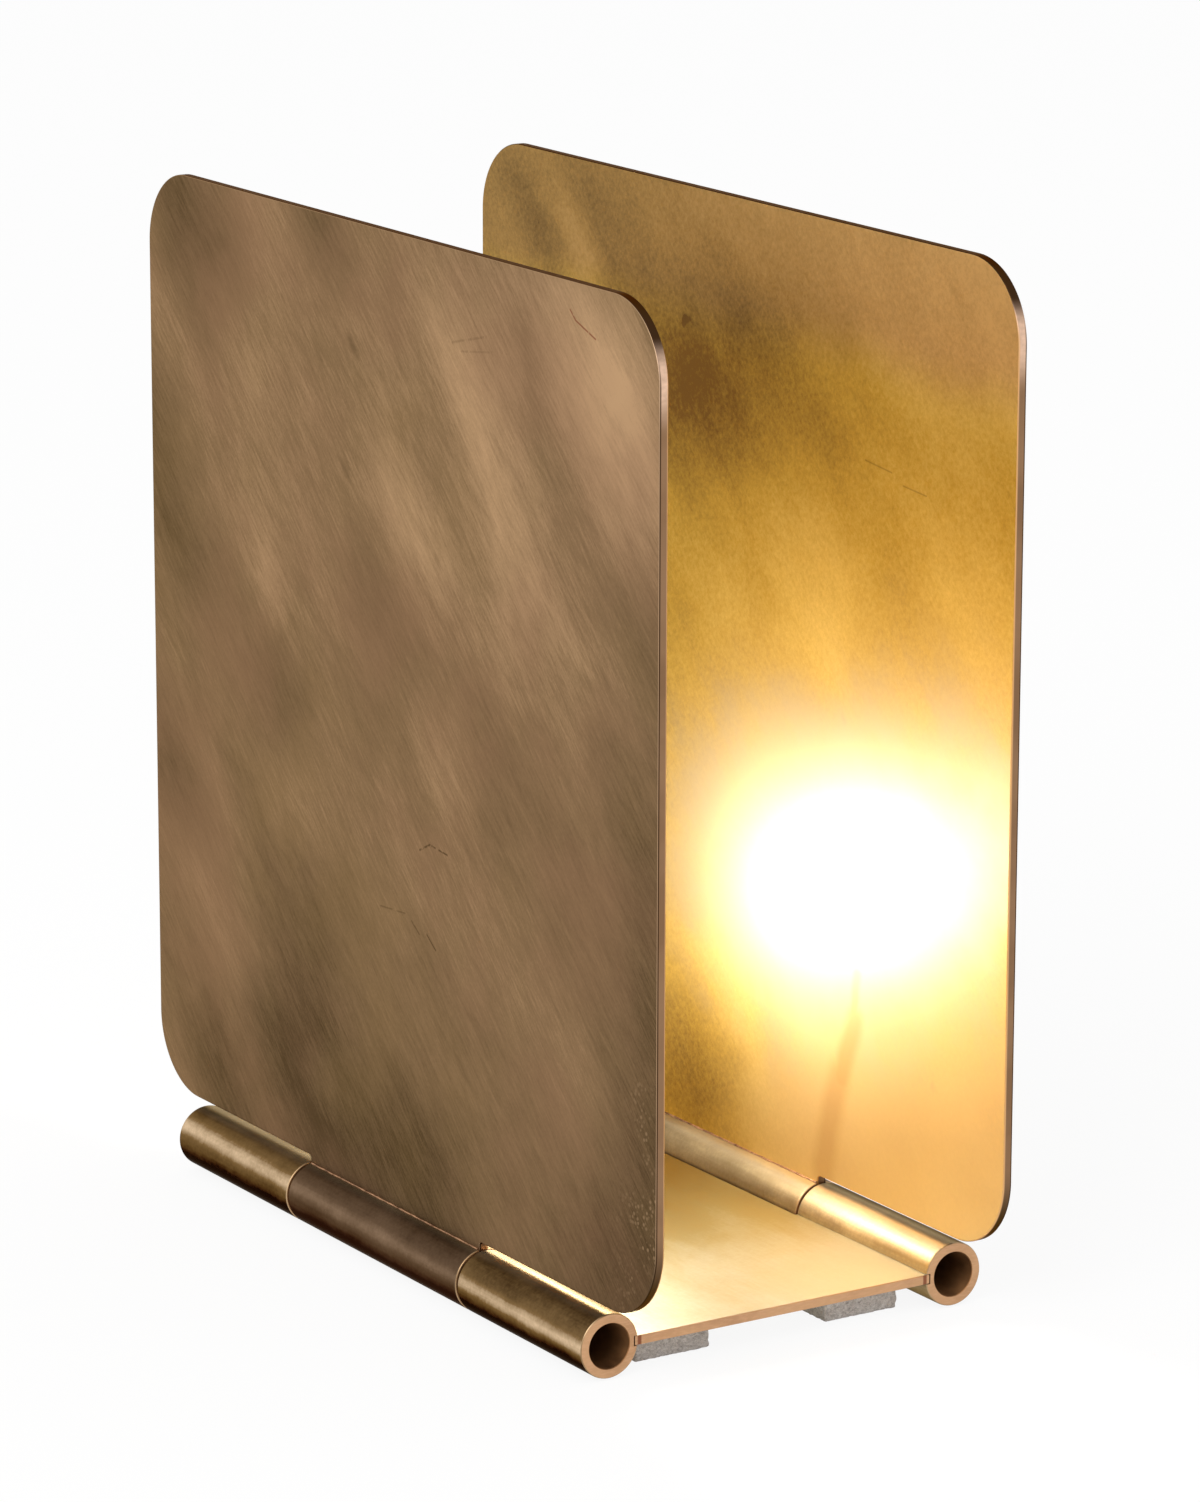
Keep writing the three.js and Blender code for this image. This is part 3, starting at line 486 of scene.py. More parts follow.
class Value:
    """A number socket in a graph of nodes, with Python's arithmetic. Each operation adds a
    Math node."""

    def __init__(self, graph, socket):
        self.graph = graph
        self.socket = socket

    def math(self, operation, *others, clamp=False):
        sockets = dict(enumerate((self, *others)))
        settings = {"operation": operation, "use_clamp": clamp}
        node = self.graph.add("ShaderNodeMath", settings, sockets)
        return Value(self.graph, node.outputs[0])

    def __add__(self, other):
        return self.math("ADD", other)

    __radd__ = __add__

    def __mul__(self, other):
        return self.math("MULTIPLY", other)

    def __sub__(self, other):
        return self.math("SUBTRACT", other)

    def __rsub__(self, other):
        return self * -1 + other

    def __truediv__(self, number):
        return self * (1 / number)

    def __pow__(self, other):
        return self.math("POWER", other)

    def __abs__(self):
        return self.math("ABSOLUTE")

    def clamp(self):
        return self.math("ADD", 0.0, clamp=True)

    def most(self, other):
        return self.math("MAXIMUM", other)

    def step(self, start, end):
        """0 at start and 1 at end, smooth between. start may be the larger."""
        sockets = {"Value": self, "From Min": start, "From Max": end}
        node = self.graph.add("ShaderNodeMapRange", {"interpolation_type": "SMOOTHSTEP"}, sockets)
        return Value(self.graph, node.outputs["Result"])


class Graph:
    """The nodes of a material or of the world."""

    def __init__(self, owner):
        owner.use_nodes = True
        self.owner = owner
        self.tree = owner.node_tree
        self.tree.nodes.clear()

    def add(self, kind, settings=None, sockets=None):
        """A node of a kind. Its settings are set first, then its sockets by value or link."""
        node = self.tree.nodes.new(kind)
        for name, value in (settings or {}).items():
            setattr(node, name, value)
        for name, value in (sockets or {}).items():
            self.feed(node.inputs[name], value)
        return node

    def feed(self, socket, value):
        if isinstance(value, Value):
            self.tree.links.new(value.socket, socket)
        elif isinstance(value, bpy.types.NodeSocket):
            self.tree.links.new(value, socket)
        elif socket.type == "RGBA":
            socket.default_value = opaque(value)
        else:
            socket.default_value = value

    def seen(self):
        """1 on a ray from the camera or a shiny or clear surface, and 0 on a ray of plain light."""
        ray = self.add("ShaderNodeLightPath").outputs
        camera, glossy, clear = [
            Value(self, ray[f"Is {kind} Ray"]) for kind in ("Camera", "Glossy", "Transmission")]
        return (camera + glossy + clear).clamp()


finishes = {}


class Finish(Graph):
    """A material and the nodes in it."""

    def __init__(self, name):
        super().__init__(bpy.data.materials.new(name))
        self.name = name

    def place(self):
        """The place on the piece in metres, as three values."""
        node = self.add("ShaderNodeTexCoord")
        split = self.add("ShaderNodeSeparateXYZ", None, {0: node.outputs["Object"]})
        return [Value(self, output) for output in split.outputs]

    def vector(self, x, y, z):
        return self.add("ShaderNodeCombineXYZ", None, {0: x, 1: y, 2: z}).outputs[0]

    def noise(self, x, y, z, scale=1.0, detail=2.0, roughness=0.5, distortion=0.0):
        """Noise from 0 to 1, mostly near 0.5."""
        node = self.add("ShaderNodeTexNoise", None, {
            "Vector": self.vector(x, y, z), "Scale": scale, "Detail": detail,
            "Roughness": roughness, "Distortion": distortion,
        })
        return Value(self, node.outputs[0])

    def cells(self, x, y, z, scale):
        """The distance to the nearest of many scattered points, in cells."""
        sockets = {"Vector": self.vector(x, y, z), "Scale": scale}
        return Value(self, self.add("ShaderNodeTexVoronoi", None, sockets).outputs["Distance"])

    def ramp(self, value, shades, places=(0.0, 0.5, 1.0)):
        """A colour that runs through the shades, each reached where the value is at its place."""
        node = self.add("ShaderNodeValToRGB", None, {0: value})
        stops = node.color_ramp.elements
        while len(stops) < len(shades):
            stops.new(0.5)
        for stop, place, shade in zip(stops, places, shades):
            stop.position = place
            stop.color = opaque(shade)
        return node.outputs[0]

    def blend(self, share, first, second):
        """From the first colour to the second by a share."""
        sockets = {0: share, 6: first, 7: second}
        return self.add("ShaderNodeMix", {"data_type": "RGBA"}, sockets).outputs[2]

    def bump(self, height, strength, distance):
        sockets = {"Height": height, "Strength": strength, "Distance": distance}
        return self.add("ShaderNodeBump", None, sockets).outputs[0]

    def surface(self, sockets):
        """The Principled shader with these sockets, as the material's surface. The material is
        then kept as the finish of that name."""
        shader = self.add("ShaderNodeBsdfPrincipled", None, sockets)
        self.add("ShaderNodeOutputMaterial", None, {"Surface": shader.outputs[0]})
        finishes[self.name] = self.owner


def scratch(across, up, start, end, width):
    """1 on a straight scratch between two points of a face, in millimetres, and 0 a width away
    from it: the distance to the nearest point of the line between its ends."""
    start = (start[0] * MM, start[1] * MM)
    run = (end[0] * MM - start[0], end[1] * MM - start[1])
    long = run[0] ** 2 + run[1] ** 2
    share = ((across - start[0]) * (run[0] / long) + (up - start[1]) * (run[1] / long)).clamp()
    off_across = across - start[0] - share * run[0]
    off_up = up - start[1] - share * run[1]
    distance = (off_across * off_across + off_up * off_up) ** 0.5
    return distance.step(width * MM, width * 0.2 * MM)


def scratches(across, up, marks):
    """The strongest of several scratches. A mark is its two ends, its width and its strength."""
    drawn = [scratch(across, up, *mark[:3]) * mark[3] for mark in marks]
    return reduce(Value.most, drawn)


def brushed_patches(along, across, patches):
    """The sum of soft oval patches that lie along the brushing. A patch is its middle in
    (y, z), its half length and half width in millimetres, and its amount. It fades smoothly
    with the distance from its middle, which is 1 at its rim."""
    total = 0.0
    for y, z, half_length, half_width, amount in patches:
        a = (along - (y + z) * DIAGONAL * MM) / (half_length * MM)
        c = (across - (y - z) * DIAGONAL * MM) / (half_width * MM)
        total = ((a * a + c * c) ** 0.5).step(1.0, 0.0) * amount + total
    return total


def patina_outer(colours):
    """Brown patina on the leaves' outer faces: soft clouds that a cloth left aslant, with fine
    brushed lines, a few scratches, and pale specks low on the front edge. The face is lighter
    towards the top and darker towards the bottom, a painted shade, and its brightest patch,
    near the front top corner, is a painted highlight."""
    f = Finish("patina_outer")
    x, y, z = f.place()
    along = (y + z) * DIAGONAL
    across = (y - z) * DIAGONAL
    sway = f.noise(y * 14, z * 14, x * 8, detail=3) - 0.5
    cloud = f.noise(along * 10, across * 24 + sway * 0.8, x * 8 + 3.1, detail=4, roughness=0.55)
    streak = f.noise(along * 30, across * 95 + sway, x * 8 + 7.7, detail=4, roughness=0.6)
    fine = f.noise(along * 90, across * 1000, 2.3, detail=4, roughness=0.8)
    grain = f.noise(x * 1100, y * 1100, z * 1100, detail=3, roughness=0.6)
    # Lighter and darker clouds of patina; the strongest, at the front top corner (-126, 290), is a painted
    # highlight.
    placed = brushed_patches(along + (streak - 0.5) * 0.02 + sway * 0.03, across + sway * 0.016, (
        (-126, 290, 66, 40, 0.5), (-50, 282, 64, 40, 0.24), (-10, 240, 64, 30, 0.34),
        (78, 203, 54, 26, 0.24), (95, 280, 66, 22, 0.16), (-74, 236, 70, 40, 0.26),
        (112, 88, 52, 20, 0.1), (-100, 100, 40, 20, 0.06), (40, 48, 20, 16, 0.2),
        (8, 286, 46, 24, 0.12), (-62, 206, 34, 22, 0.14), (-34, 168, 44, 28, 0.18),
        (-130, 205, 44, 26, 0.12), (60, 132, 46, 26, 0.14), (70, 176, 42, 32, -0.2),
        (99, 206, 34, 24, -0.12), (-2, 203, 54, 22, -0.12), (140, 132, 54, 26, -0.3),
        (146, 246, 46, 24, -0.24), (72, 62, 60, 44, -0.16), (110, 40, 40, 26, -0.12),
        (44, 92, 60, 46, -0.2), (40, 36, 70, 50, -0.4), (-14, 36, 56, 40, -0.28),
        (104, 30, 44, 28, -0.14), (140, 215, 56, 26, -0.2), (124, 312, 70, 44, -0.4),
        (44, 328, 56, 24, -0.26), (-132, 44, 40, 30, -0.14),
        (-56, 158, 46, 28, -0.07), (-110, 30, 50, 30, -0.14), (19, 286, 6, 3.4, -0.22),
        (27, 249, 5, 3, -0.2),
    ))
    left = x.step(0.03, -0.03)
    placed = placed * (streak * 0.6 + 0.7)
    tone = 0.46 + (cloud - 0.5) * (1.3 - left * 0.75) + (streak - 0.5) * 0.24 + placed * left
    # The share of z makes the face lighter towards the top and darker towards the bottom: painted shade.
    tone = tone + (fine - 0.5) * 0.7 + (grain - 0.5) * 0.2 + (z - 0.17) * 0.42
    tone = tone - y.step(-0.1, -0.15) * z.step(0.27, 0.2) * 0.2
    shade = f.ramp(tone, (colours.patina_dark, colours.patina, colours.patina_light))
    rosy = f.noise(y * 16, z * 16, x * 8 + 11, detail=3)
    shade = f.blend(rosy.step(0.42, 0.7) * 0.34, shade, colours.patina_rosy)
    shade = f.blend(rosy.step(0.5, 0.28) * 0.16, shade, linear(142, 116, 76))
    near_front = y.step(-0.122, -0.145) * z.step(0.13, 0.07)
    speck = f.cells(x, y, z, 560)
    patch = f.noise(x, y, z, scale=75, detail=4)
    specks = speck.step(0.42, 0.2) * patch.step(0.5, 0.62) * near_front
    shade = f.blend(specks * 0.5, shade, linear(172, 142, 110))
    marks = scratches(y, z, (
        ((-17, 138), (-23, 141), 0.5, 1.0), ((-24, 140.8), (-33, 140), 0.45, 1.0),
        ((-12, 114.5), (-17, 111), 0.5, 0.8), ((-20, 113), (-26, 108.6), 0.5, 1.0),
        ((7, 115), (-8, 116), 0.4, 0.6), ((-37, 297), (-56, 301.5), 0.6, 0.3),
        ((-42, 295), (-60, 297.5), 0.5, 0.25),
    ))
    broken = f.noise(x, y, z, scale=420, detail=1).step(0.38, 0.48)
    shade = f.blend(marks * broken * left * 0.7, shade, linear(66, 48, 32))
    red = scratches(y, z, (
        ((-102, 316.5), (-105, 313.8), 0.45, 1.0), ((-105, 313.8), (-115.5, 310), 0.45, 1.0),
    ))
    shade = f.blend(red * broken * left * 0.75, shade, linear(128, 68, 50))
    rough = 0.4 + (cloud - 0.5) * 0.2 + (fine - 0.5) * 0.25 + specks * 0.1
    f.surface({
        "Base Color": shade, "Metallic": 1.0, "Roughness": rough,
        "Specular Tint": colours.grazing,
        "Normal": f.bump(fine + grain * 0.4 - marks * 2.0, 0.16, 0.04 * MM),
    })


def patina_inner(colours):
    """Gold of the leaves' inner faces: cloudy, with dark smudges, an orange-brown streak below
    the glow and a fine mottle. The brown top is painted shade. A pale painted highlight lies
    where the bulb's glow is seen, with a paler core, and the lower front is painted paler where
    the light falls. The coat is thick over the glow and thin elsewhere."""
    f = Finish("patina_inner")
    x, y, z = f.place()
    along = (y + z) * DIAGONAL
    across = (y - z) * DIAGONAL
    sway = f.noise(y * 16, z * 16, x * 8, detail=4, roughness=0.6) - 0.5
    cloud = f.noise(along * 16, across * 26 + sway, x * 8 + 5.1, detail=5, roughness=0.62)
    fine = f.noise(along * 60, across * 1400, 2.3, detail=2, roughness=0.7)
    grain = f.noise(x * 650, y * 650, z * 650, detail=5, roughness=0.75)
    right = x.step(-0.03, 0.03)
    placed = brushed_patches(along + sway * 0.05, across + sway * 0.03, (
        (2, 292, 40, 18, -0.24), (36, 266, 56, 48, -0.42), (0, 264, 50, 44, -0.3),
        (-34, 274, 60, 36, -0.2), (-116, 236, 80, 44, 0.24), (-44, 224, 54, 34, 0.2),
        (-44, 196, 30, 20, 0.16), (4, 200, 34, 26, 0.14), (119, 305, 50, 26, -0.24),
        (92, 300, 40, 18, 0.26), (-40, 322, 80, 20, 0.12), (28, 46, 52, 34, -0.32),
        (-104, 36, 60, 44, 0.36), (-34, 32, 60, 34, 0.3), (-84, 78, 56, 34, -0.24),
        (-24, 68, 40, 24, -0.2), (-76, 276, 76, 30, -0.3), (84, 312, 64, 30, -0.2),
        (26, 281.6, 3.4, 2.6, -0.7), (-111, 68, 3.4, 2.6, -0.3), (-50, 175, 4, 2.6, -0.2),
    ))
    placed = placed + y.step(0.08, -0.14) * z.step(0.25, 0.3) * 0.42
    tone = 0.5 + (cloud - 0.5) * 0.6 + (grain - 0.5) * 0.75 + (fine - 0.5) * 0.16 + placed * right
    shade = f.ramp(tone, (colours.inner_dark, colours.inner, colours.inner_light))
    # The browner band along the top is painted shade, above where the bulb's light falls.
    brown = (z + sway * 0.02).step(0.272, 0.296) * 0.75
    top = f.ramp(tone, (colours.patina_dark, linear(158, 124, 82), linear(204, 164, 114)))
    shade = f.blend(brown, shade, top)
    # A pale painted highlight, the bulb's reflection, where the glow is seen on the leaf, centred off the
    # bulb, with a paler painted core. The same mask thickens the coat there.
    across_glow = (y + 0.062) / 0.18
    above_glow = (z - 0.121 + (y + 0.05) * 0.26) / 0.11
    from_glow = (across_glow * across_glow + above_glow * above_glow) ** 0.5
    from_glow = from_glow + (cloud - 0.5) * 0.5 + sway * 0.25
    glow_paint_and_coat = from_glow.step(1.0, 0.2) * (right * 0.75 + 0.25)
    shade = f.blend(glow_paint_and_coat * glow_paint_and_coat.step(-0.2, 0.8) * 0.7, shade, colours.painted_glow)
    shade = f.blend(from_glow.step(0.7, 0.38) * right * 0.6, shade, linear(168, 153, 124))
    # Painted light: the lower front is paler where the light from the bulb and the plate falls.
    low_front = (z + y * 0.3).step(0.078, 0.03) * y.step(0.02, -0.06)
    shade = f.blend(low_front * right * 0.7, shade, linear(224, 194, 144))
    # An orange-brown streak below the glow.
    run = scratches(y + sway * 0.008, z, (
        ((-71, 93), (-69, 80), 3.2, 1.0), ((-70, 78), (-63, 58), 7.0, 1.0),
        ((-62, 58), (-54, 26), 9.0, 0.8),
    ))
    shade = f.blend(run * right * 0.42, shade, linear(176, 126, 58))
    lines = scratches(y, z, (
        ((-72, 254.5), (-86, 253), 0.4, 1.0), ((-92, 250), (-104, 249), 0.4, 1.0),
    ))
    shade = f.blend(lines * right * 0.35, shade, linear(90, 62, 28))
    rough = 0.6 + (cloud - 0.5) * 0.12 + (grain - 0.5) * 0.12
    f.surface({
        "Base Color": shade, "Metallic": 1.0, "Roughness": rough,
        "Specular Tint": colours.grazing,
        "Coat Weight": 0.05 + glow_paint_and_coat * z.step(0.066, 0.112) * 0.7, "Coat Roughness": 0.43,
        "Coat IOR": 1.9,
        "Normal": f.bump(fine + grain * 0.6, 0.14, 0.04 * MM),
    })


def cut_edge(colours, name):
    """Coppery brass of sawn and filed edges, with file marks across it and brown stains. It is
    reddish and darker in the corner where the plate meets a tube, a painted shade."""
    f = Finish(name)
    x, y, z = f.place()
    marks = f.noise(x * 300, y * 1500, z * 1500, detail=2)
    stain = f.noise(x, y, z, scale=70, detail=4)
    shade = f.blend(stain.step(0.42, 0.72) * 0.45, colours.copper, colours.copper_dark)
    shade = f.blend(marks.step(0.45, 0.65) * 0.25, shade, linear(224, 178, 142))
    # Painted shade, dark red-brown, where the plate's edge meets a tube.
    corner = abs(abs(x) - (AXIS_X - TUBE - 0.5 * MM)).step(0.9 * MM, 0.4 * MM)
    shade = f.blend(corner * 0.8, shade, linear(118, 58, 36))
    f.surface({
        "Base Color": shade, "Metallic": 1.0, "Roughness": 0.38 + (marks - 0.5) * 0.2,
        "Normal": f.bump(marks, 0.15, 0.04 * MM),
    })


def leaf_edge(colours):
    """The leaves' edges: dark brown patina, with painted shade along the top edge and in the
    lower corners, a painted highlight round the top corners, and painted highlights along both
    arrises with a painted dark line beside the outer one. out runs from 0 at the inner face to
    1 at the outer one."""
    f = Finish("leaf_edge")
    x, y, z = f.place()
    marks = f.noise(x * 500, y * 700, z * 700, detail=3)
    stain = f.noise(x, y, z, scale=45, detail=4)
    out = (abs(x) - AXIS_X) / SHEET + 0.5
    band = f.blend(stain.step(0.35, 0.7) * 0.5, linear(150, 117, 88), linear(118, 88, 62))
    # The top edge is dark: painted shade.
    upper = z.step(0.3, 0.313)
    band = f.blend(upper, band, linear(62, 42, 26))
    # A pale band round the top corners: painted highlight.
    painted_corner_highlight = z.step(0.287, 0.301) * z.step(0.315, 0.306)
    band = f.blend(painted_corner_highlight * (0.75 + (marks - 0.5) * 0.6), band, linear(246, 208, 180))
    # The light lines along the inner and the outer arris are painted highlights, and the dark line beside
    # the outer arris is painted shade.
    shade = f.blend(out.step(0.22, 0.06) * (1 - upper) * 0.85, band, linear(226, 176, 122))
    painted_dark_line = out.step(0.78, 0.86) * out.step(0.985, 0.93) * (1 - upper)
    shade = f.blend(painted_dark_line * 0.9, shade, linear(58, 38, 22))
    shade = f.blend(out.step(0.93, 0.99) * 0.8, shade, linear(190, 158, 124))
    # The lower corners of the edge are dark: painted shade.
    corner = z.step(0.054, 0.034) * abs(y).step(0.1, 0.125) * out.step(0.05, 0.25)
    shade = f.blend(corner * 0.85, shade, linear(50, 38, 22))
    f.surface({
        "Base Color": shade, "Metallic": 1.0, "Roughness": 0.4 + (marks - 0.5) * 0.2,
        "Specular Tint": linear(196, 172, 146),
        "Normal": f.bump(marks, 0.12, 0.04 * MM),
    })


def tube_brass(colours, name, shades, highlight_and_gold):
    """Brass of a knuckle, drawn lengthwise, with stains. Its outer side is dark, a painted shade,
    with a painted highlight along the side that faces out and a little up, and painted shade
    below. It is golden on the inner side, and paler on top, a painted highlight. The last
    argument says how bright the painted highlight is and how bright the inner gold stays. out
    and up count in tube radii from the hinge's axis."""
    f = Finish(name)
    x, y, z = f.place()
    out = (abs(x) - AXIS_X) / TUBE
    up = (z - AXIS_Z) / TUBE
    # The painted highlight: a band along the ridge that faces out and a little up, higher towards the rear.
    from_ridge = abs(up - (y * 1.8 + 0.3))
    painted_highlight = from_ridge.step(0.8, 0.1) * 0.26 + from_ridge.step(0.34, 0.02) * 0.42
    painted_highlight = painted_highlight * out.step(-0.1, 0.5)
    # Painted shade on the underside of the outer side.
    under = up.step(0.0, -0.7) * out.step(-0.3, 0.3)
    inner = (up * 0.4 - out * 0.9).step(-0.1, 0.6)
    drawn = f.noise(x * 1300, y * 24, z * 1300, detail=3, roughness=0.65)
    stain = f.noise(x * 80, y * 55, z * 80, detail=5, roughness=0.65)
    grain = f.noise(x, y, z, scale=900, detail=3)
    spotted = (stain - 0.5) * 0.62 + (drawn - 0.5) * 0.2 + (grain - 0.5) * 0.24
    tone = painted_highlight * highlight_and_gold + spotted + 0.16 - under * 0.42
    shade = f.ramp(tone, shades)
    golds = (linear(132, 104, 58), colours.tube_gold, linear(226, 200, 152))
    gold = f.ramp(spotted + 0.5, golds, (0.1, 0.5, 0.9))
    gold = f.blend(1.0 - highlight_and_gold, gold, linear(84, 68, 38))
    # Paler on top: painted highlight.
    gold = f.blend(up.step(0.75, 0.95) * 0.5, gold, linear(214, 198, 166))
    shade = f.blend(inner, shade, gold)
    f.surface({
        "Base Color": shade, "Metallic": 1.0,
        "Roughness": 0.4 + inner * 0.05 + (stain - 0.5) * 0.2 + (drawn - 0.5) * 0.1,
        "Specular Tint": linear(156, 144, 130),
        "Normal": f.bump(drawn + stain, 0.05, 0.03 * MM),
    })


def bore_brass():
    """The dark, unpolished inside of the tubes."""
    f = Finish("bore_brass")
    x, y, z = f.place()
    stain = f.noise(x * 120, y * 60, z * 120, detail=3)
    shade = f.ramp(stain, (linear(104, 70, 42), linear(168, 122, 78)), (0.3, 0.7))
    f.surface({"Base Color": shade, "Metallic": 0.8, "Roughness": 0.6 + (stain - 0.5) * 0.3})


def plate_brass(colours):
    """Pale golden brass of the base plate, with soft smudges and a fine grain. It is deeper
    gold to the rear and palest along the front."""
    f = Finish("plate_brass")
    x, y, z = f.place()
    drawn = f.noise(x * 900, y * 60, z * 900, detail=3)
    smudge = f.noise(x * 26, y * 15, z * 26, detail=5, roughness=0.6, distortion=0.8)
    grain = f.noise(x, y, z, scale=800, detail=4, roughness=0.7)
    tone = y.step(0.06, -0.13) * 0.85 + (smudge - 0.5) * 0.9 + (drawn - 0.5) * 0.14 + (grain - 0.5) * 0.24
    shade = f.ramp(tone, (colours.plate_dark, colours.plate, colours.plate_light))
    pale = y.step(-0.06, -0.145) * x.step(-0.02, 0.045)
    shade = f.blend(pale * 0.9, shade, linear(200, 199, 184))
    f.surface({
        "Base Color": shade, "Metallic": 1.0, "Roughness": 0.55 + (smudge - 0.5) * 0.2,
        "Coat Weight": y.step(0.02, -0.12) * 0.7, "Coat Roughness": 0.5, "Coat IOR": 1.6,
        "Normal": f.bump(drawn + grain, 0.1, 0.03 * MM),
    })


def felt_wool(colours):
    """Pressed wool: matted fibres of two greys, with a soft sheen."""
    f = Finish("felt_wool")
    x, y, z = f.place()
    matted = f.noise(x * 420, y * 420, z * 620, detail=6, roughness=0.78, distortion=2.0)
    strands = f.noise(x * 1500, y * 1500, z * 2200, detail=3, roughness=0.7, distortion=3.0)
    tone = matted * 0.62 + strands * 0.38
    greys = (linear(126, 116, 109), colours.felt, linear(238, 231, 226))
    shade = f.ramp(tone, greys, (0.36, 0.5, 0.63))
    f.surface({
        "Base Color": shade, "Roughness": 0.95, "Sheen Weight": 0.3, "Sheen Roughness": 0.5,
        "Normal": f.bump(tone, 0.9, 0.5 * MM),
    })


def plain_metal(name, dark, light, roughness, scale=90.0):
    """A turned metal: stains between two shades, with fine rings of tool marks."""
    f = Finish(name)
    x, y, z = f.place()
    stain = f.noise(x, y, z, scale=scale, detail=4, roughness=0.6)
    marks = f.noise(x * 200, y * 2600, z * 2600, detail=2)
    shade = f.ramp(stain, (dark, light), (0.3, 0.7))
    f.surface({
        "Base Color": shade, "Metallic": 1.0, "Roughness": roughness + (stain - 0.5) * 0.2,
        "Normal": f.bump(marks, 0.1, 0.03 * MM),
    })


def plain_matter(name, dark, light, roughness, coat=0.0, depth=0.03 * MM):
    """A moulded or fired matter with a faint mottle."""
    f = Finish(name)
    x, y, z = f.place()
    mottle = f.noise(x, y, z, scale=140, detail=5, roughness=0.65)
    shade = f.ramp(mottle, (dark, light), (0.3, 0.7))
    f.surface({
        "Base Color": shade, "Roughness": roughness + (mottle - 0.5) * 0.15, "Coat Weight": coat,
        "Normal": f.bump(mottle, 0.2, depth),
    })


def opal_glass(colours, strength):
    """Opal glass lit from inside, a little dimmer towards its neck."""
    f = Finish("opal_glass")
    f.owner.cycles.emission_sampling = "FRONT"
    x, y, z = f.place()
    mottle = f.noise(x, y, z, scale=40, detail=2)
    bright = z.step(0.066, 0.086) * 0.75 + 0.25 + (mottle - 0.5) * 0.1
    shade = f.blend(bright, (0.0, 0.0, 0.0), colours.glow)
    f.surface({
        "Base Color": linear(250, 240, 222), "Roughness": 0.22 + (mottle - 0.5) * 0.1,
        "Coat Weight": 0.5, "Emission Color": shade, "Emission Strength": strength,
    })


def clear_glass():
    f = Finish("clear_glass")
    x, y, z = f.place()
    seed = f.noise(x, y, z, scale=260, detail=3)
    f.surface({
        "Base Color": linear(226, 234, 232), "Roughness": 0.05 + seed * 0.06,
        "Alpha": 0.35 + (seed - 0.5) * 0.1, "IOR": 1.5,
    })


# Dark and light display colours, roughness, and the scale of the stains where it isn't 90

METALS = {
    # rim_brass is lighter than the tubes' body: a painted highlight on the rounded rims.
    "rim_brass": ((134, 104, 72), (196, 166, 128), 0.38),
    "brazing": ((112, 78, 54), (206, 160, 122), 0.4, 320.0),
    "steel": ((120, 118, 114), (176, 174, 170), 0.36),
    "bronze": ((120, 82, 48), (160, 116, 74), 0.42),
    "nickel": ((176, 172, 162), (206, 203, 196), 0.3),
    "tungsten": ((84, 80, 76), (120, 116, 110), 0.5),
    "holder_brass": ((150, 112, 62), (206, 166, 106), 0.33),
}

# Dark and light display colours, roughness, glaze, and the depth of the grain

MATTERS = {
    "opal_inside": ((236, 228, 214), (246, 240, 228), 0.4),
    "fibre": ((30, 25, 21), (58, 49, 42), 0.85, 0.0, 0.1 * MM),
    "porcelain": ((222, 218, 208), (240, 237, 229), 0.28, 0.6),
    "black_plastic": ((24, 23, 22), (40, 38, 36), 0.45),
}


def make_finishes(scene):
    """Every finish once."""
    colours = scene.lamp_colours
    for make in (patina_outer, patina_inner, leaf_edge, plate_brass, felt_wool):
        make(colours)
    for name in ("cut_edge", "tube_end"):
        cut_edge(colours, name)
    tube = (colours.tube_dark, colours.tube, colours.tube_highlight)
    tube_brass(colours, "tube_brass", tube, 1.0)
    # The centre knuckles take the same painted highlight and shade, dimmer, in patina shades.
    patina = (linear(64, 49, 38), linear(108, 87, 69), linear(156, 130, 106))
    tube_brass(colours, "centre_brass", patina, 0.78)
    bore_brass()
    opal_glass(colours, scene.lamp_stage.glow)
    clear_glass()
    for make, table in ((plain_metal, METALS), (plain_matter, MATTERS)):
        for name, (dark, light, *others) in table.items():
            make(name, linear(*dark), linear(*light), *others)


def finish(name):
    if not finishes:
        make_finishes(bpy.context.scene)
    return finishes[name]


# Groups of pieces. Their corners are in millimetres, like the gaps and lengths here.

RUNNING_GAP = 0.15
SEAT_GAP = 0.3
BRAZING_GAP = 0.1
PLUG_LENGTH = 18
BUSH_LENGTH = 22
THREAD_RADIUS = 4
PIN_CHAMFER = 0.6
SPRING_THICKNESS = 0.8
SPRING_RISE = 0.5
NUT_LENGTH = 6
NUT_SLOT_DEPTH = 1.5
NIPPLE_HOLE = 5 + SEAT_GAP
TERMINAL_X = 5.5
GLOBE_HEIGHT = 100.2
GLASS_FOOT = 64.2
LOOSE_GAP = 0.5


def ring(hinge, across, corners, lengthways=1):
    """A ring about a hinge axis from (radius, along) corners."""
    radius, along = rounded(np.array(corners) * MM, 0.15 * MM).T
    return turned((radius, along * lengthways), 64, (across * hinge.axis_x, 0, hinge.axis_z), "Y")


def upright(corners, sides=96, rounding=0.15 * MM, is_open=False, x=0.0, steps=3):
    """A turned piece about an upright axis from (radius, height) corners."""
    profile = rounded(np.array(corners) * MM, rounding, steps, is_open=is_open)
    return turned(profile.T, sides, (x, 0, 0), is_open=is_open)


def oblong(inner, outer, low, high):
    """The corners of a plain ring's section."""
    return [(inner, low), (outer, low), (outer, high), (inner, high)]


def heights(node):
    """The lowest and the highest point of a CAD node, in millimetres."""
    low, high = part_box(node)
    return low.z / MM, high.z / MM


def rod(radius, start, end, sides, centre=(0, 0, 0)):
    """A short closed rod that cuts an upright hole, in millimetres."""
    profile = np.array([[0, radius, radius, 0], [start, start, end, end]]) * MM
    return turned(profile, sides, np.array(centre) * MM, is_open=True)


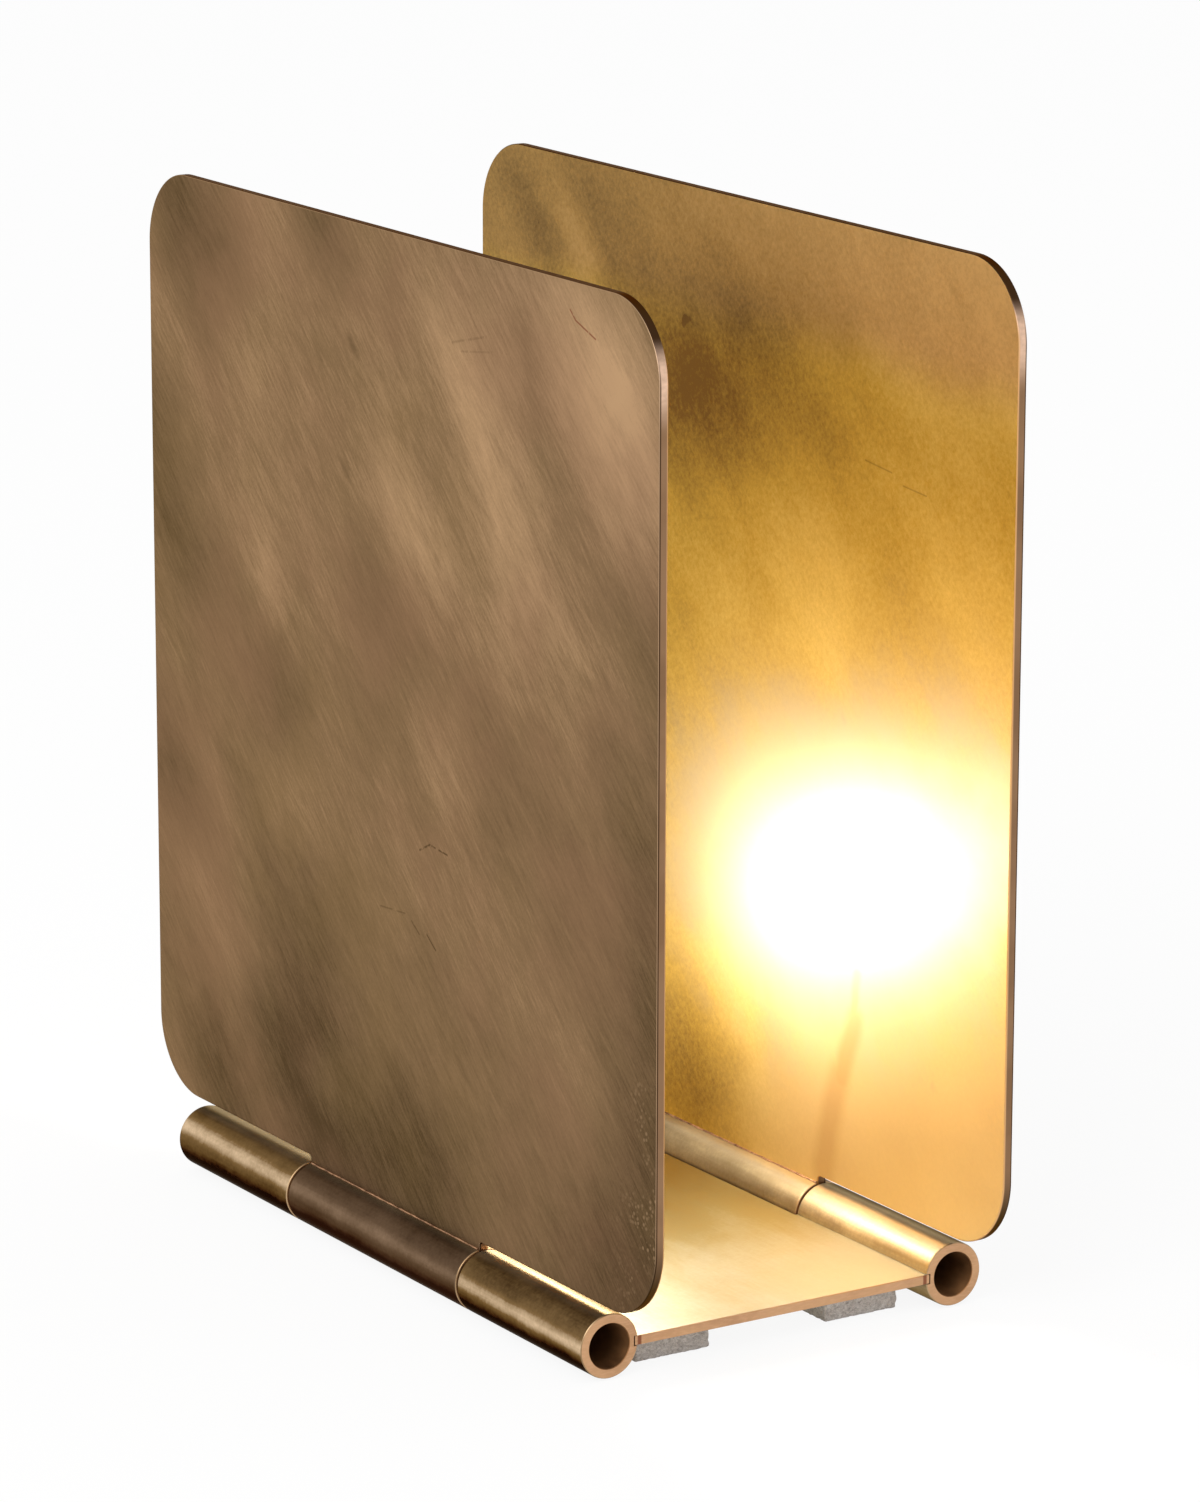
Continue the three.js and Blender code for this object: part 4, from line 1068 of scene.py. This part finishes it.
def block(low, high):
    """A closed block that cuts a slot: one square outline at two heights, in millimetres."""
    x = np.array([low[0], high[0], high[0], low[0]])
    y = np.array([low[1], low[1], high[1], high[1]])
    rows = [np.stack([x, y, np.full(4, z)], axis=1) for z in (low[2], high[2])]
    return shell(np.stack(rows) * MM, lids=True)


def denser(profile, step, start, end):
    """A profile with more points where it lies between start and end along its axis."""
    run = np.linalg.norm(np.diff(profile, axis=0), axis=1)
    place = np.concatenate([[0], np.cumsum(run)])
    extra = np.arange(0, place[-1], step)
    along = np.interp(extra, place, profile[:, 1])
    place_all = np.union1d(place, extra[(along > start) & (along < end)])
    return [np.interp(place_all, place, values) for values in profile.T]


class HINGED_LAMP_OT_leaves(bpy.types.Operator):
    """Make the two brass leaves"""

    bl_idname = "hinged_lamp.leaves"
    bl_label = "Leaves"

    def execute(self, context):
        hinge, sizes = context.scene.lamp_hinges, context.scene.lamp_leaves
        outline = leaf_outline(sizes, hinge.centre)
        for side, across in SIDES:

            def place(loop, offset, x=across * hinge.axis_x):
                return np.column_stack([np.full(len(loop), x + offset), loop])

            def choose(middle, normal, across=across):
                outwards = normal[:, 0] * across
                return np.select([outwards > FLAT, outwards < -FLAT], [0, 1], 2)

            add_piece(f"{side}_leaf", "sheet", "patinated_brass",
                      [sheet(outline, sizes.thickness, sizes.edge, place)],
                      ("patina_outer", "patina_inner", "leaf_edge"), choose, body=f"{side}_wing")
        return {"FINISHED"}


def tube_faces(hinge):
    """Which finish a knuckle's faces take: outside, rounded rim, end face, bore. The end faces
    in the seams take the bore's darker finish, a painted shade in the seams."""

    def choose(middle, normal):
        along = np.abs(normal[:, 1])
        away = np.hypot(np.abs(middle[:, 0]) - hinge.axis_x, middle[:, 2] - hinge.axis_z)
        inside = away < hinge.bore + 0.25 * MM
        in_seam = np.abs(middle[:, 1]) < hinge.seam + MM
        # Painted shade: the end faces in the seams take the bore's finish.
        dark = (inside & (along < 0.9)) | (in_seam & (along > 0.9))
        return np.select([dark, along > 0.9, along > 0.2], [3, 2, 1], 0)

    return choose


def grub_hole(hinge, across, lengthways):
    """The hole from below for the grub screw in the middle of a plug."""
    along = lengthways * (hinge.seam / MM + PLUG_LENGTH / 2)
    centre = (across * hinge.axis_x / MM, along, 0)
    return rod(2 + RUNNING_GAP, -1, hinge.axis_z / MM - 2, 40, centre)


class HINGED_LAMP_OT_fixed_knuckles(bpy.types.Operator):
    """Make the four outer knuckles, with the base plate's groove and a grub screw's hole"""

    bl_idname = "hinged_lamp.fixed_knuckles"
    bl_label = "Fixed knuckles"

    def execute(self, context):
        hinge = context.scene.lamp_hinges
        for side, across in SIDES:
            for end, lengthways in ENDS:
                low, high = sorted((lengthways * hinge.seam, lengthways * hinge.end))
                tube = knuckle(hinge, low, high, (-across, 0), across * hinge.axis_x)
                add_piece(f"{side}_{end}_knuckle", "tube", "satin_brass", [tube],
                          ("tube_brass", "rim_brass", "tube_end", "bore_brass"),
                          tube_faces(hinge), [grub_hole(hinge, across, lengthways)], 3)
        return {"FINISHED"}


def seam_bead(hinge, centre_x, face, seed):
    """The bead of brazing along one side of a leaf's tab, where it enters the knuckle: a thin
    round bead whose place and thickness wander by smooth noise."""
    y = np.arange(-hinge.centre + 0.4 * MM, hinge.centre - 0.3 * MM, 0.5 * MM)
    half = 1.5 * MM
    top = hinge.axis_z + math.sqrt(hinge.tube ** 2 - half ** 2)
    line = np.stack([0 * y, y, 0 * y], axis=1)
    x = centre_x + face * (half + 0.08 * MM) + 0.05 * MM * ripple(line, seed, 5 * MM)
    z = top + 0.06 * MM + 0.04 * MM * ripple(line, seed + 40, 4 * MM)
    radius = 0.34 * MM + 0.05 * MM * ripple(line, seed + 80, 3 * MM)
    return pipe(np.stack([x, y, z], axis=1), radius[:, None, None], 10)


class HINGED_LAMP_OT_centre_knuckles(bpy.types.Operator):
    """Make the two turning knuckles, with the groove that holds the leaf's tab"""

    bl_idname = "hinged_lamp.centre_knuckles"
    bl_label = "Centre knuckles"

    def execute(self, context):
        hinge = context.scene.lamp_hinges
        for side, across in SIDES:
            node, body, x = f"{side}_centre_knuckle", f"{side}_wing", across * hinge.axis_x
            tube = knuckle(hinge, -hinge.centre, hinge.centre, (0, 1), x)
            add_piece(node, "tube", "patinated_brass", [tube],
                      ("centre_brass", "rim_brass", "tube_end", "bore_brass"),
                      tube_faces(hinge), body=body)
            beads = [seam_bead(hinge, x, face, 11 + face) for face in (-1, 1)]
            add_piece(node, "seam_beads", "patinated_brass", beads, ("brazing",), body=body,
                      alone=False)
        return {"FINISHED"}


class HINGED_LAMP_OT_base_plate(bpy.types.Operator):
    """Make the base plate with the nipple's hole"""

    bl_idname = "hinged_lamp.base_plate"
    bl_label = "Base plate"

    def execute(self, context):
        hinge, sizes = context.scene.lamp_hinges, context.scene.lamp_leaves
        low, high = heights("base_plate")

        def choose(middle, normal):
            return np.where(np.abs(normal[:, 2]) > FLAT, 0, 1)

        add_piece("base_plate", "sheet", "satin_brass",
                  [sheet(plate_outline(hinge), sizes.thickness, sizes.edge, lying_at(hinge.axis_z))],
                  ("plate_brass", "cut_edge"), choose, [rod(NIPPLE_HOLE, low - 1, high + 1, 96)], 1)
        return {"FINISHED"}


def felt_block(low, high, seed):
    """A pad's outline, a square with round corners, carried up its height. Each side point
    moves out or in by smooth noise of two sizes, as cut felt does, and the edges are soft."""
    arcs = round_corners(low, high, 1.2 * MM, 9)
    sides = [np.linspace(arc[-1], other[0], 70)[1:-1] for arc, other in zip(arcs, arcs[1:] + arcs[:1])]
    loop = np.concatenate([run for pair in zip(arcs, sides) for run in pair])
    soft = 0.7 * MM
    inward, down = round_over(soft)
    inward = np.concatenate([[soft + 0.6 * MM], inward])
    down = np.concatenate([[0], down])
    side = np.linspace(soft, high.z - soft, 24)[1:-1]
    depth = np.concatenate([inward, 0 * side, inward[::-1]])
    height = np.concatenate([down, side, high.z - down[::-1]])
    rows = [lying_at(h)(inset(loop, d + 0.25 * MM), 0) for d, h in zip(depth, height)]
    points = np.stack(rows)
    out = inset(loop, -1.0) - loop
    noise = ripple(points, seed, 2.2 * MM) * 0.14 * MM + ripple(points, seed + 1, 0.9 * MM) * 0.09 * MM
    points[1:-1, :, :2] += out[None] * np.clip(noise, -0.25 * MM, 0.25 * MM)[1:-1, :, None]
    return shell(points, lids=True)


class HINGED_LAMP_OT_felt_pads(bpy.types.Operator):
    """Make the four felt pads under the base plate"""

    bl_idname = "hinged_lamp.felt_pads"
    bl_label = "Felt pads"

    def execute(self, context):
        names = [f"{side}_{end}_felt_pad" for side, _ in SIDES for end, _ in ENDS]
        for place, name in enumerate(names):
            wool = felt_block(*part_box(name), seed=10 * place)
            pad = add_piece(name, "wool", "felt", [wool], ("felt_wool",))
        return {"FINISHED"}


class HINGED_LAMP_OT_hinge_pins(bpy.types.Operator):
    """Make the two hinge pins, with a round head and a threaded end"""

    bl_idname = "hinged_lamp.hinge_pins"
    bl_label = "Hinge pins"

    def execute(self, context):
        hinge = context.scene.lamp_hinges
        low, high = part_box("right_hinge_pin")
        foot, top = low.y / MM, high.y / MM
        shank, head, thread = hinge.pin / MM, hinge.bore / MM - LOOSE_GAP, THREAD_RADIUS
        plug_end = hinge.seam / MM + PLUG_LENGTH
        corners = [(0, foot), (thread - PIN_CHAMFER, foot), (thread, foot + PIN_CHAMFER),
                   (thread, -plug_end), (shank, -plug_end), (shank, plug_end + BRAZING_GAP),
                   (head, plug_end + BRAZING_GAP), (head, top - PIN_CHAMFER),
                   (head - PIN_CHAMFER, top), (0, top)]
        profile = rounded(np.array(corners) * MM, 0.15 * MM, is_open=True)
        radius, along = denser(profile, 0.12 * MM, -80.3 * MM, -70.2 * MM)
        radius = threaded(radius, along, 48, pitch=1.25 * MM, depth=0.5 * MM,
                          start=-80.6 * MM, end=-70.3 * MM)
        for side, across in SIDES:
            centre = (across * hinge.axis_x, 0, hinge.axis_z)
            pin = turned((radius, along), 48, centre, "Y", is_open=True)
            add_piece(f"{side}_hinge_pin", "turned", "steel", [pin])
        return {"FINISHED"}


class HINGED_LAMP_OT_bearings(bpy.types.Operator):
    """Make the plugs, the bushes and the friction washers on the pins"""

    bl_idname = "hinged_lamp.bearings"
    bl_label = "Plugs, bushes and friction washers"

    def execute(self, context):
        hinge = context.scene.lamp_hinges
        seam, centre, tube = hinge.seam / MM, hinge.centre / MM, hinge.tube / MM
        inner = hinge.pin / MM + RUNNING_GAP
        outer = hinge.bore / MM - RUNNING_GAP
        plug = oblong(inner, outer, seam, seam + PLUG_LENGTH)
        bush = oblong(inner, outer, centre - BUSH_LENGTH, centre)
        washer = oblong(inner, tube - 1, centre + RUNNING_GAP, seam - RUNNING_GAP)
        for side, across in SIDES:
            for end, lengthways in ENDS:
                name = f"{side}_{end}"
                add_piece(f"{name}_plug", "turned", "satin_brass",
                          [ring(hinge, across, plug, lengthways)], ("plate_brass",),
                          holes=[grub_hole(hinge, across, lengthways)])
                add_piece(f"{name}_bush", "turned", "bronze",
                          [ring(hinge, across, bush, lengthways)], body=f"{side}_wing")
                add_piece(f"{name}_friction_washer", "cut", "friction_fibre",
                          [ring(hinge, across, washer, lengthways)], ("fibre",))
        return {"FINISHED"}


class HINGED_LAMP_OT_hinge_fasteners(bpy.types.Operator):
    """Make the disc springs, the lock nuts and the grub screws"""

    bl_idname = "hinged_lamp.hinge_fasteners"
    bl_label = "Springs, lock nuts and grub screws"

    def execute(self, context):
        hinge = context.scene.lamp_hinges
        inner, outer = THREAD_RADIUS + RUNNING_GAP, hinge.bore / MM - LOOSE_GAP
        for side, across in SIDES:
            start = hinge.seam / MM + PLUG_LENGTH + BRAZING_GAP
            for place, inner_rise, outer_rise in (("inner", SPRING_RISE, 0), ("outer", 0, SPRING_RISE)):
                corners = [(inner, start + inner_rise), (outer, start + outer_rise),
                           (outer, start + outer_rise + SPRING_THICKNESS),
                           (inner, start + inner_rise + SPRING_THICKNESS)]
                add_piece(f"{side}_{place}_disc_spring", "turned", "steel",
                          [ring(hinge, across, corners, -1)])
                start = start + SPRING_THICKNESS + SPRING_RISE + BRAZING_GAP
            stop = start + NUT_LENGTH
            corners = [(inner, start), (outer - PIN_CHAMFER, start), (outer, start + PIN_CHAMFER),
                       (outer, stop - PIN_CHAMFER), (outer - PIN_CHAMFER, stop), (inner, stop)]
            x, z = across * hinge.axis_x / MM, hinge.axis_z / MM
            slot = block((x - 9, -stop - 1.1, z - 1), (x + 9, NUT_SLOT_DEPTH - stop, z + 1))
            add_piece(f"{side}_lock_nut", "turned", "steel", [ring(hinge, across, corners, -1)],
                      holes=[slot])
            for end, _ in ENDS:
                node = f"{side}_{end}_grub_screw"
                low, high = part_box(node)
                middle = ((low.x + high.x) / 2, (low.y + high.y) / 2, 0)
                foot, top = heights(node)
                corners = np.array([(0, foot), (2, foot), (2, top), (0, top)])
                profile = rounded(corners * MM, 0.25 * MM, is_open=True).T
                socket = rod(1.15, foot - 1, foot + 1.5, 6, np.array(middle) / MM)
                add_piece(node, "turned", "steel", [turned(profile, 40, middle, is_open=True)],
                          holes=[socket])
        return {"FINISHED"}


def hexagon_nut(flats, bore, low, high, chamfer, sides=144):
    """A nut: at angle a the outer radius is half the flats over cos a, with a counted from the
    nearest flat, and no more than a cone at its two faces allows."""
    angle = np.arange(sides) * (2 * math.pi / sides)
    from_flat = (angle + math.pi / 6) % (math.pi / 3) - math.pi / 6
    hexagon = flats / 2 / np.cos(from_flat)
    point = flats / math.sqrt(3)
    rim = np.linspace(0, chamfer, 5)
    along = np.concatenate([[low, low], low + rim, high - rim[::-1], [high, high]])
    reach = np.concatenate([[bore, bore + 0.3], point - chamfer * 1.6 + rim * 1.6])
    reach = np.concatenate([reach, reach[::-1]])
    radius = np.minimum(hexagon[None, :], reach[:, None])
    return turned((radius * MM, along * MM), sides)


class HINGED_LAMP_OT_nipple_stack(bpy.types.Operator):
    """Make the nipple, its nut and washer, the earth tag and the inlet bush"""

    bl_idname = "hinged_lamp.nipple_stack"
    bl_label = "Nipple and what it clamps"

    def execute(self, context):
        profile = rounded(np.array(oblong(3.5, 5, *heights("nipple"))) * MM, 0.2 * MM)
        radius, along = denser(profile, 0.12 * MM, 4.4 * MM, 21.8 * MM)
        thread = threaded(radius, along, 72, pitch=1 * MM, depth=0.45 * MM,
                          start=4.3 * MM, end=21.9 * MM)
        radius = np.where(radius[:, None] > 4.6 * MM, thread, radius[:, None])
        add_piece("nipple", "turned", "satin_brass", [turned((radius, along), 72)], ("plate_brass",))
        nut = hexagon_nut(14, NIPPLE_HOLE, *heights("nipple_nut"), 0.4)
        add_piece("nipple_nut", "turned", "satin_brass", [nut], ("plate_brass",))
        washer = upright(oblong(NIPPLE_HOLE, 9, *heights("nipple_washer")))
        add_piece("nipple_washer", "turned", "steel", [washer])
        radius, reach, half = 8, 14.5, 2.5
        opening = math.asin(half / radius)
        turn = np.linspace(math.pi / 2 + opening, math.pi * 5 / 2 - opening, 97)
        tip = np.linspace(0, math.pi, 25)
        outline = np.concatenate([
            np.stack([radius * np.cos(turn), radius * np.sin(turn)], axis=1),
            np.stack([half * np.cos(tip), reach + half * np.sin(tip)], axis=1),
        ]) * MM
        low, high = heights("earth_tag")
        tag = sheet(outline, (high - low) * MM, 0.12 * MM, lying_at((low + high) / 2 * MM))
        holes = [rod(NIPPLE_HOLE, low - 1, high + 1, 72), rod(1.2, low - 1, high + 1, 36, (0, reach, 0))]
        add_piece("earth_tag", "sheet", "steel", [tag], holes=holes)
        bore, wall, flange = 2.55, 3.35, 4.8
        foot, top = heights("inlet_bush")
        bush = upright([(bore, foot), (flange, foot), (flange, foot + 0.9), (wall, foot + 0.9),
                        (wall, top), (bore, top)])
        add_piece("inlet_bush", "moulded", "black_plastic", [bush])
        return {"FINISHED"}


def oval(floor_radius, brim_radius, floor, brim, steps=18):
    """A quarter of an oval bowl from its floor at one radius up to its brim at another: the
    radius grows with the sine of an angle, and the height as one less its cosine."""
    t = np.linspace(0, math.pi / 2, steps)
    return np.stack([floor_radius + (brim_radius - floor_radius) * np.sin(t),
                     brim - (brim - floor) * np.cos(t)], axis=1)


def holder_skirt():
    """The skirt's profile with two round grooves, and a knurled band between them: its radius
    loses a raised cosine of the angle, 48 times round."""
    corners = [(11.5, 28.3), (12.5, 28.3), (12.5, 32.3), (14, 32.3), (14, 34.3), (13.6, 34.7),
               (13.6, 35.3), (14, 35.7), (14, 41.7), (13.6, 42.1), (13.6, 42.7), (14, 43.1),
               (14, 65.4), (13.4, 66), (10.6, 66), (10.6, 64), (11.5, 64)]
    profile = rounded(np.array(corners) * MM, 0.2 * MM)
    radius, along = denser(profile, 0.3 * MM, 35.6 * MM, 41.8 * MM)
    turn = np.arange(288) / 288
    band = np.clip(np.minimum(along - 35.7 * MM, 41.7 * MM - along) / (0.4 * MM), 0, 1)
    knurl = 0.3 * MM * band[:, None] * (0.5 - 0.5 * np.cos(2 * math.pi * 48 * turn))[None]
    radius = radius[:, None] - np.where(radius[:, None] > 13.5 * MM, knurl, 0)
    return turned((radius, along), 288)


class HINGED_LAMP_OT_holder(bpy.types.Operator):
    """Make the lampholder: cap, skirt, core, contacts and terminal screws"""

    bl_idname = "hinged_lamp.holder"
    bl_label = "Lampholder"

    def execute(self, context):
        cap = np.concatenate([
            [(NIPPLE_HOLE, 12), (7.5, 12)], oval(7.5, 14, 17, 25), [(14, 32), (12.8, 32), (12.8, 26.2)],
            oval(7.5, 11.2, 18.4, 26.2)[::-1], [(7.5, 20.5), (NIPPLE_HOLE, 20.5)],
        ])
        profile = rounded(cap * MM, 0.25 * MM, 2)
        add_piece("holder_cap", "turned", "satin_brass", [turned(profile.T, 128)], ("holder_brass",))
        add_piece("holder_skirt", "turned", "satin_brass", [holder_skirt()], ("holder_brass",))
        core = [(0, 26.5), (12.5, 26.5), (12.5, 28), (11.2, 28), (11.2, 63.7), (9.9, 63.7),
                (9.9, 60), (8.1, 60), (8.1, 41), (0, 41)]
        holes = [rod(1.35, 25, 33.8, 32, (across * TERMINAL_X, 0, 0)) for _, across in SIDES]
        add_piece("holder_core", "fired", "porcelain", [upright(core, 96, 0.4 * MM, True)], holes=holes)
        contact = upright(oblong(7.3, 7.8, *heights("screw_contact")), rounding=0.1 * MM)
        add_piece("screw_contact", "pressed", "nickel", [contact])
        strip = np.array([(-5, 41), (0, 41), (0.5, 43.9), (2.4, 43.9), (2.4, 44.4), (0, 44.4),
                          (-0.5, 41.5), (-5, 41.5)]) * MM

        def place(loop, offset):
            return np.stack([loop[:, 0], np.full(len(loop), offset), loop[:, 1]], axis=1)

        add_piece("centre_contact", "pressed", "nickel", [sheet(strip, 4 * MM, 0.08 * MM, place)])
        screw = [(0, 24.7), (2.4, 24.7), (2.4, 26.5), (1.2, 26.5), (1.2, 33.5), (0, 33.5)]
        for side, across in SIDES:
            x = across * TERMINAL_X
            slot = block((x - 0.3, -3, 24), (x + 0.3, 3, 25.5))
            add_piece(f"{side}_terminal_screw", "turned", "steel",
                      [upright(screw, 40, 0.2 * MM, True, x * MM)], holes=[slot])
        return {"FINISHED"}


def glass_outline(neck, radius):
    """One side of the glass in (radius, height), millimetres: up the neck, along a cubic
    Bezier curve into the globe, and round the globe to its top."""
    shoulder = math.pi * 0.28
    start = np.array([neck, 66.6])
    join = np.array([radius * math.sin(shoulder), GLOBE_HEIGHT - radius * math.cos(shoulder)])
    handle = (join[1] - start[1]) / 2
    lift = start + (0, handle)
    lead = join - handle * np.array([math.cos(shoulder), math.sin(shoulder)])
    t = np.linspace(0, 1, 26)[:, None]
    curve = (1 - t) ** 3 * start + 3 * t * (1 - t) ** 2 * lift + 3 * t ** 2 * (1 - t) * lead + t ** 3 * join
    turn = np.linspace(shoulder, math.pi, 50)[1:]
    globe = np.stack([radius * np.sin(turn), GLOBE_HEIGHT - radius * np.cos(turn)], axis=1)
    globe[-1, 0] = 0
    return np.concatenate([[(neck, GLASS_FOOT)], curve, globe])


class HINGED_LAMP_OT_bulb(bpy.types.Operator):
    """Make the bulb: glass, screw cap, insulator, tip, stem, leads and filament"""

    bl_idname = "hinged_lamp.bulb"
    bl_label = "Bulb"

    def execute(self, context):
        wall = np.concatenate([glass_outline(7.8, 21.7)[::-1], glass_outline(8.6, 22.5)]) * MM

        def choose(middle, normal):
            out = middle * (1, 1, 0) + (middle - (0, 0, GLOBE_HEIGHT * MM)) * (0, 0, 0.3)
            return np.where((out * normal).sum(1) < 0, 1, 0)

        add_piece("bulb_glass", "glass", "opal_glass", [turned(wall.T, 96, is_open=True)],
                  ("opal_glass", "opal_inside"), choose)
        cap = [(5, 47.3), (6.95, 48.5), (6.95, 61.7), (9.3, 63.9), (9.3, 66.5), (8.9, 66.5),
               (8.9, 64.1), (6.55, 61.9), (6.55, 48.7), (5, 47.7)]
        radius, along = denser(rounded(np.array(cap) * MM, 0.2 * MM), 0.2 * MM, 48.6 * MM, 61.6 * MM)
        radius = threaded(radius, along, 96, pitch=2.82 * MM, depth=0.55 * MM,
                          start=48.8 * MM, end=61.2 * MM)
        add_piece("bulb_cap", "pressed", "nickel", [turned((radius, along), 96)])
        insulator = upright([(0, 46), (2.99, 46), (5, 47.2), (0, 47.2)], 72, 0.15 * MM, True)
        add_piece("bulb_insulator", "moulded", "black_plastic", [insulator])
        tip = upright([(0, 44.7), (1.2, 44.7), (2.4, 45.3), (2.4, 45.9), (0, 45.9)], 48, 0.4 * MM, True)
        add_piece("bulb_tip", "pressed", "nickel", [tip])
        foot = oval(2.6, 7.5, 0, 4, 12)[::-1] * (1, -1) + (0, GLASS_FOOT + 4 + 0.9)
        stem = np.concatenate([[(0, GLASS_FOOT), (7.5, GLASS_FOOT)], foot, [(2.6, 84.2), (0, 84.2)]])
        add_piece("bulb_stem", "glass", "clear_glass", [upright(stem, 48, 0.1 * MM, True, steps=1)])
        t = np.linspace(0, 1, 14)[:, None]
        for side, across in SIDES:
            path = np.array([across * 1.5, 0, 84.3]) * (1 - t) + np.array([across * 7, 0, 99.3]) * t
            add_piece(f"{side}_bulb_lead", "wire", "nickel", [pipe(path * MM, 0.35 * MM, 12)])
        t = np.linspace(0, 1, 420)
        arch = np.stack([-7 + 14 * t, 14 * t * (1 - t), 100.05 + 2 * t * (1 - t)], axis=1)
        turn = t * 2 * math.pi * 30
        coil = arch + 0.34 * np.stack([0 * turn, np.cos(turn), np.sin(turn)], axis=1)
        add_piece("bulb_filament", "wire", "tungsten", [pipe(coil * MM, 0.1 * MM, 6)])
        return {"FINISHED"}


# Stage


def light_floor():
    """A pale floor. Seen by the camera or in a reflection it is partly white by itself, and it
    keeps the lamp's shadow. It is no lamp, so no light is looked for on it."""
    f = Finish("pale_floor")
    f.owner.cycles.emission_sampling = "NONE"
    matt = f.add("ShaderNodeBsdfDiffuse", None, {"Color": (0.9, 0.9, 0.9)}).outputs[0]
    white = f.add("ShaderNodeEmission", None, {"Color": (1, 1, 1), "Strength": 1.0}).outputs[0]
    mixed = f.add("ShaderNodeMixShader", None, {0: f.seen() * 0.9, 1: matt, 2: white})
    f.add("ShaderNodeOutputMaterial", None, {"Surface": mixed.outputs[0]})
    return f.owner


def white_world(scene, fill):
    """White to the camera and in reflections, and a plain level on matt surfaces."""
    world = bpy.data.worlds.new("white_studio")
    scene.world = world
    world.cycles.sampling_method = "NONE"
    graph = Graph(world)
    level = graph.seen() * (1 - fill) + fill
    background = graph.add("ShaderNodeBackground", None, {"Color": (1, 1, 1), "Strength": level})
    graph.add("ShaderNodeOutputWorld", None, {"Surface": background.outputs[0]})


def facing(place, aim, roll=0.0):
    """A placing that looks from one point at another, turned a little about the view line."""
    back = (place - aim).normalized()
    right = Vector((0, 0, 1)).cross(back).normalized()
    up = back.cross(right)
    turned_right = right * math.cos(roll) + up * math.sin(roll)
    turned_up = up * math.cos(roll) - right * math.sin(roll)
    columns = Matrix((turned_right, turned_up, back)).transposed()
    return Matrix.Translation(place) @ columns.to_4x4()


def area_lamp(name, place, aim, size, power):
    """A square lamp that looks from one point at another."""
    data = bpy.data.lights.new(name, "AREA")
    data.shape = "SQUARE"
    data.size = size
    data.energy = power
    lamp = bpy.data.objects.new(name, data)
    lamp.matrix_world = facing(Vector(place), Vector(aim))
    bpy.context.scene.collection.objects.link(lamp)


class HINGED_LAMP_OT_stage(bpy.types.Operator):
    """Make the floor, the soft light and the camera"""

    bl_idname = "hinged_lamp.stage"
    bl_label = "Stage"

    def execute(self, context):
        scene = context.scene
        stage = scene.lamp_stage
        t = np.linspace(0, 2 * math.pi, 64, endpoint=False)
        rings = np.array([0.02, 0.6, 3, 12])[:, None, None]
        disc = rings * np.stack([np.cos(t), np.sin(t), 0 * t], axis=1)[None]
        points, faces = shell(disc)
        faces.append(list(range(len(t))))
        mesh = bpy.data.meshes.new("pale_floor")
        mesh.from_pydata(points.tolist(), [], faces)
        mesh.materials.append(light_floor())
        floor = bpy.data.objects.new("pale_floor", mesh)
        scene.collection.objects.link(floor)
        white_world(scene, stage.fill)
        area_lamp("key_lamp", place=(-1.5, -0.9, 1.5), aim=(0, 0, 0.15), size=1.2, power=stage.key)
        data = bpy.data.cameras.new("photo_camera")
        data.sensor_width = 36
        data.sensor_height = 36
        data.sensor_fit = "VERTICAL"
        data.lens = stage.lens
        data.clip_start = 0.05
        data.clip_end = 60
        camera = bpy.data.objects.new("photo_camera", data)
        camera.matrix_world = facing(Vector(stage.place), Vector(stage.aim), stage.roll)
        scene.collection.objects.link(camera)
        scene.camera = camera
        scene.view_settings.view_transform = "Standard"
        return {"FINISHED"}


class HINGED_LAMP_PT_panel(bpy.types.Panel):
    """The lamp's sizes, colours and operators."""

    bl_label = "Hinged Lamp"
    bl_idname = "HINGED_LAMP_PT_panel"
    bl_space_type = "VIEW_3D"
    bl_region_type = "UI"
    bl_category = "Hinged Lamp"

    def draw(self, context):
        layout = self.layout
        for operator in operators:
            layout.operator(operator.bl_idname)
        for group in groups:
            box = layout.box()
            box.label(text=group)
            settings = getattr(context.scene, group)
            for name in type(settings).__annotations__:
                box.prop(settings, name)


operators = (
    HINGED_LAMP_OT_leaves,
    HINGED_LAMP_OT_centre_knuckles,
    HINGED_LAMP_OT_fixed_knuckles,
    HINGED_LAMP_OT_base_plate,
    HINGED_LAMP_OT_felt_pads,
    HINGED_LAMP_OT_hinge_pins,
    HINGED_LAMP_OT_bearings,
    HINGED_LAMP_OT_hinge_fasteners,
    HINGED_LAMP_OT_nipple_stack,
    HINGED_LAMP_OT_holder,
    HINGED_LAMP_OT_bulb,
    HINGED_LAMP_OT_stage,
)
groups = {
    "lamp_hinges": HingeSizes,
    "lamp_leaves": LeafSizes,
    "lamp_colours": LampColours,
    "lamp_stage": StageSettings,
}


def register():
    for kind in (*groups.values(), *operators, HINGED_LAMP_PT_panel):
        bpy.utils.register_class(kind)
    for name, kind in groups.items():
        setattr(bpy.types.Scene, name, PointerProperty(type=kind))


def unregister():
    for name in groups:
        delattr(bpy.types.Scene, name)
    for kind in reversed((*groups.values(), *operators, HINGED_LAMP_PT_panel)):
        bpy.utils.unregister_class(kind)


def main():
    register()
    for operator in operators:
        family, name = operator.bl_idname.split(".")
        getattr(getattr(bpy.ops, family), name)()


if __name__ == "__main__":
    main()
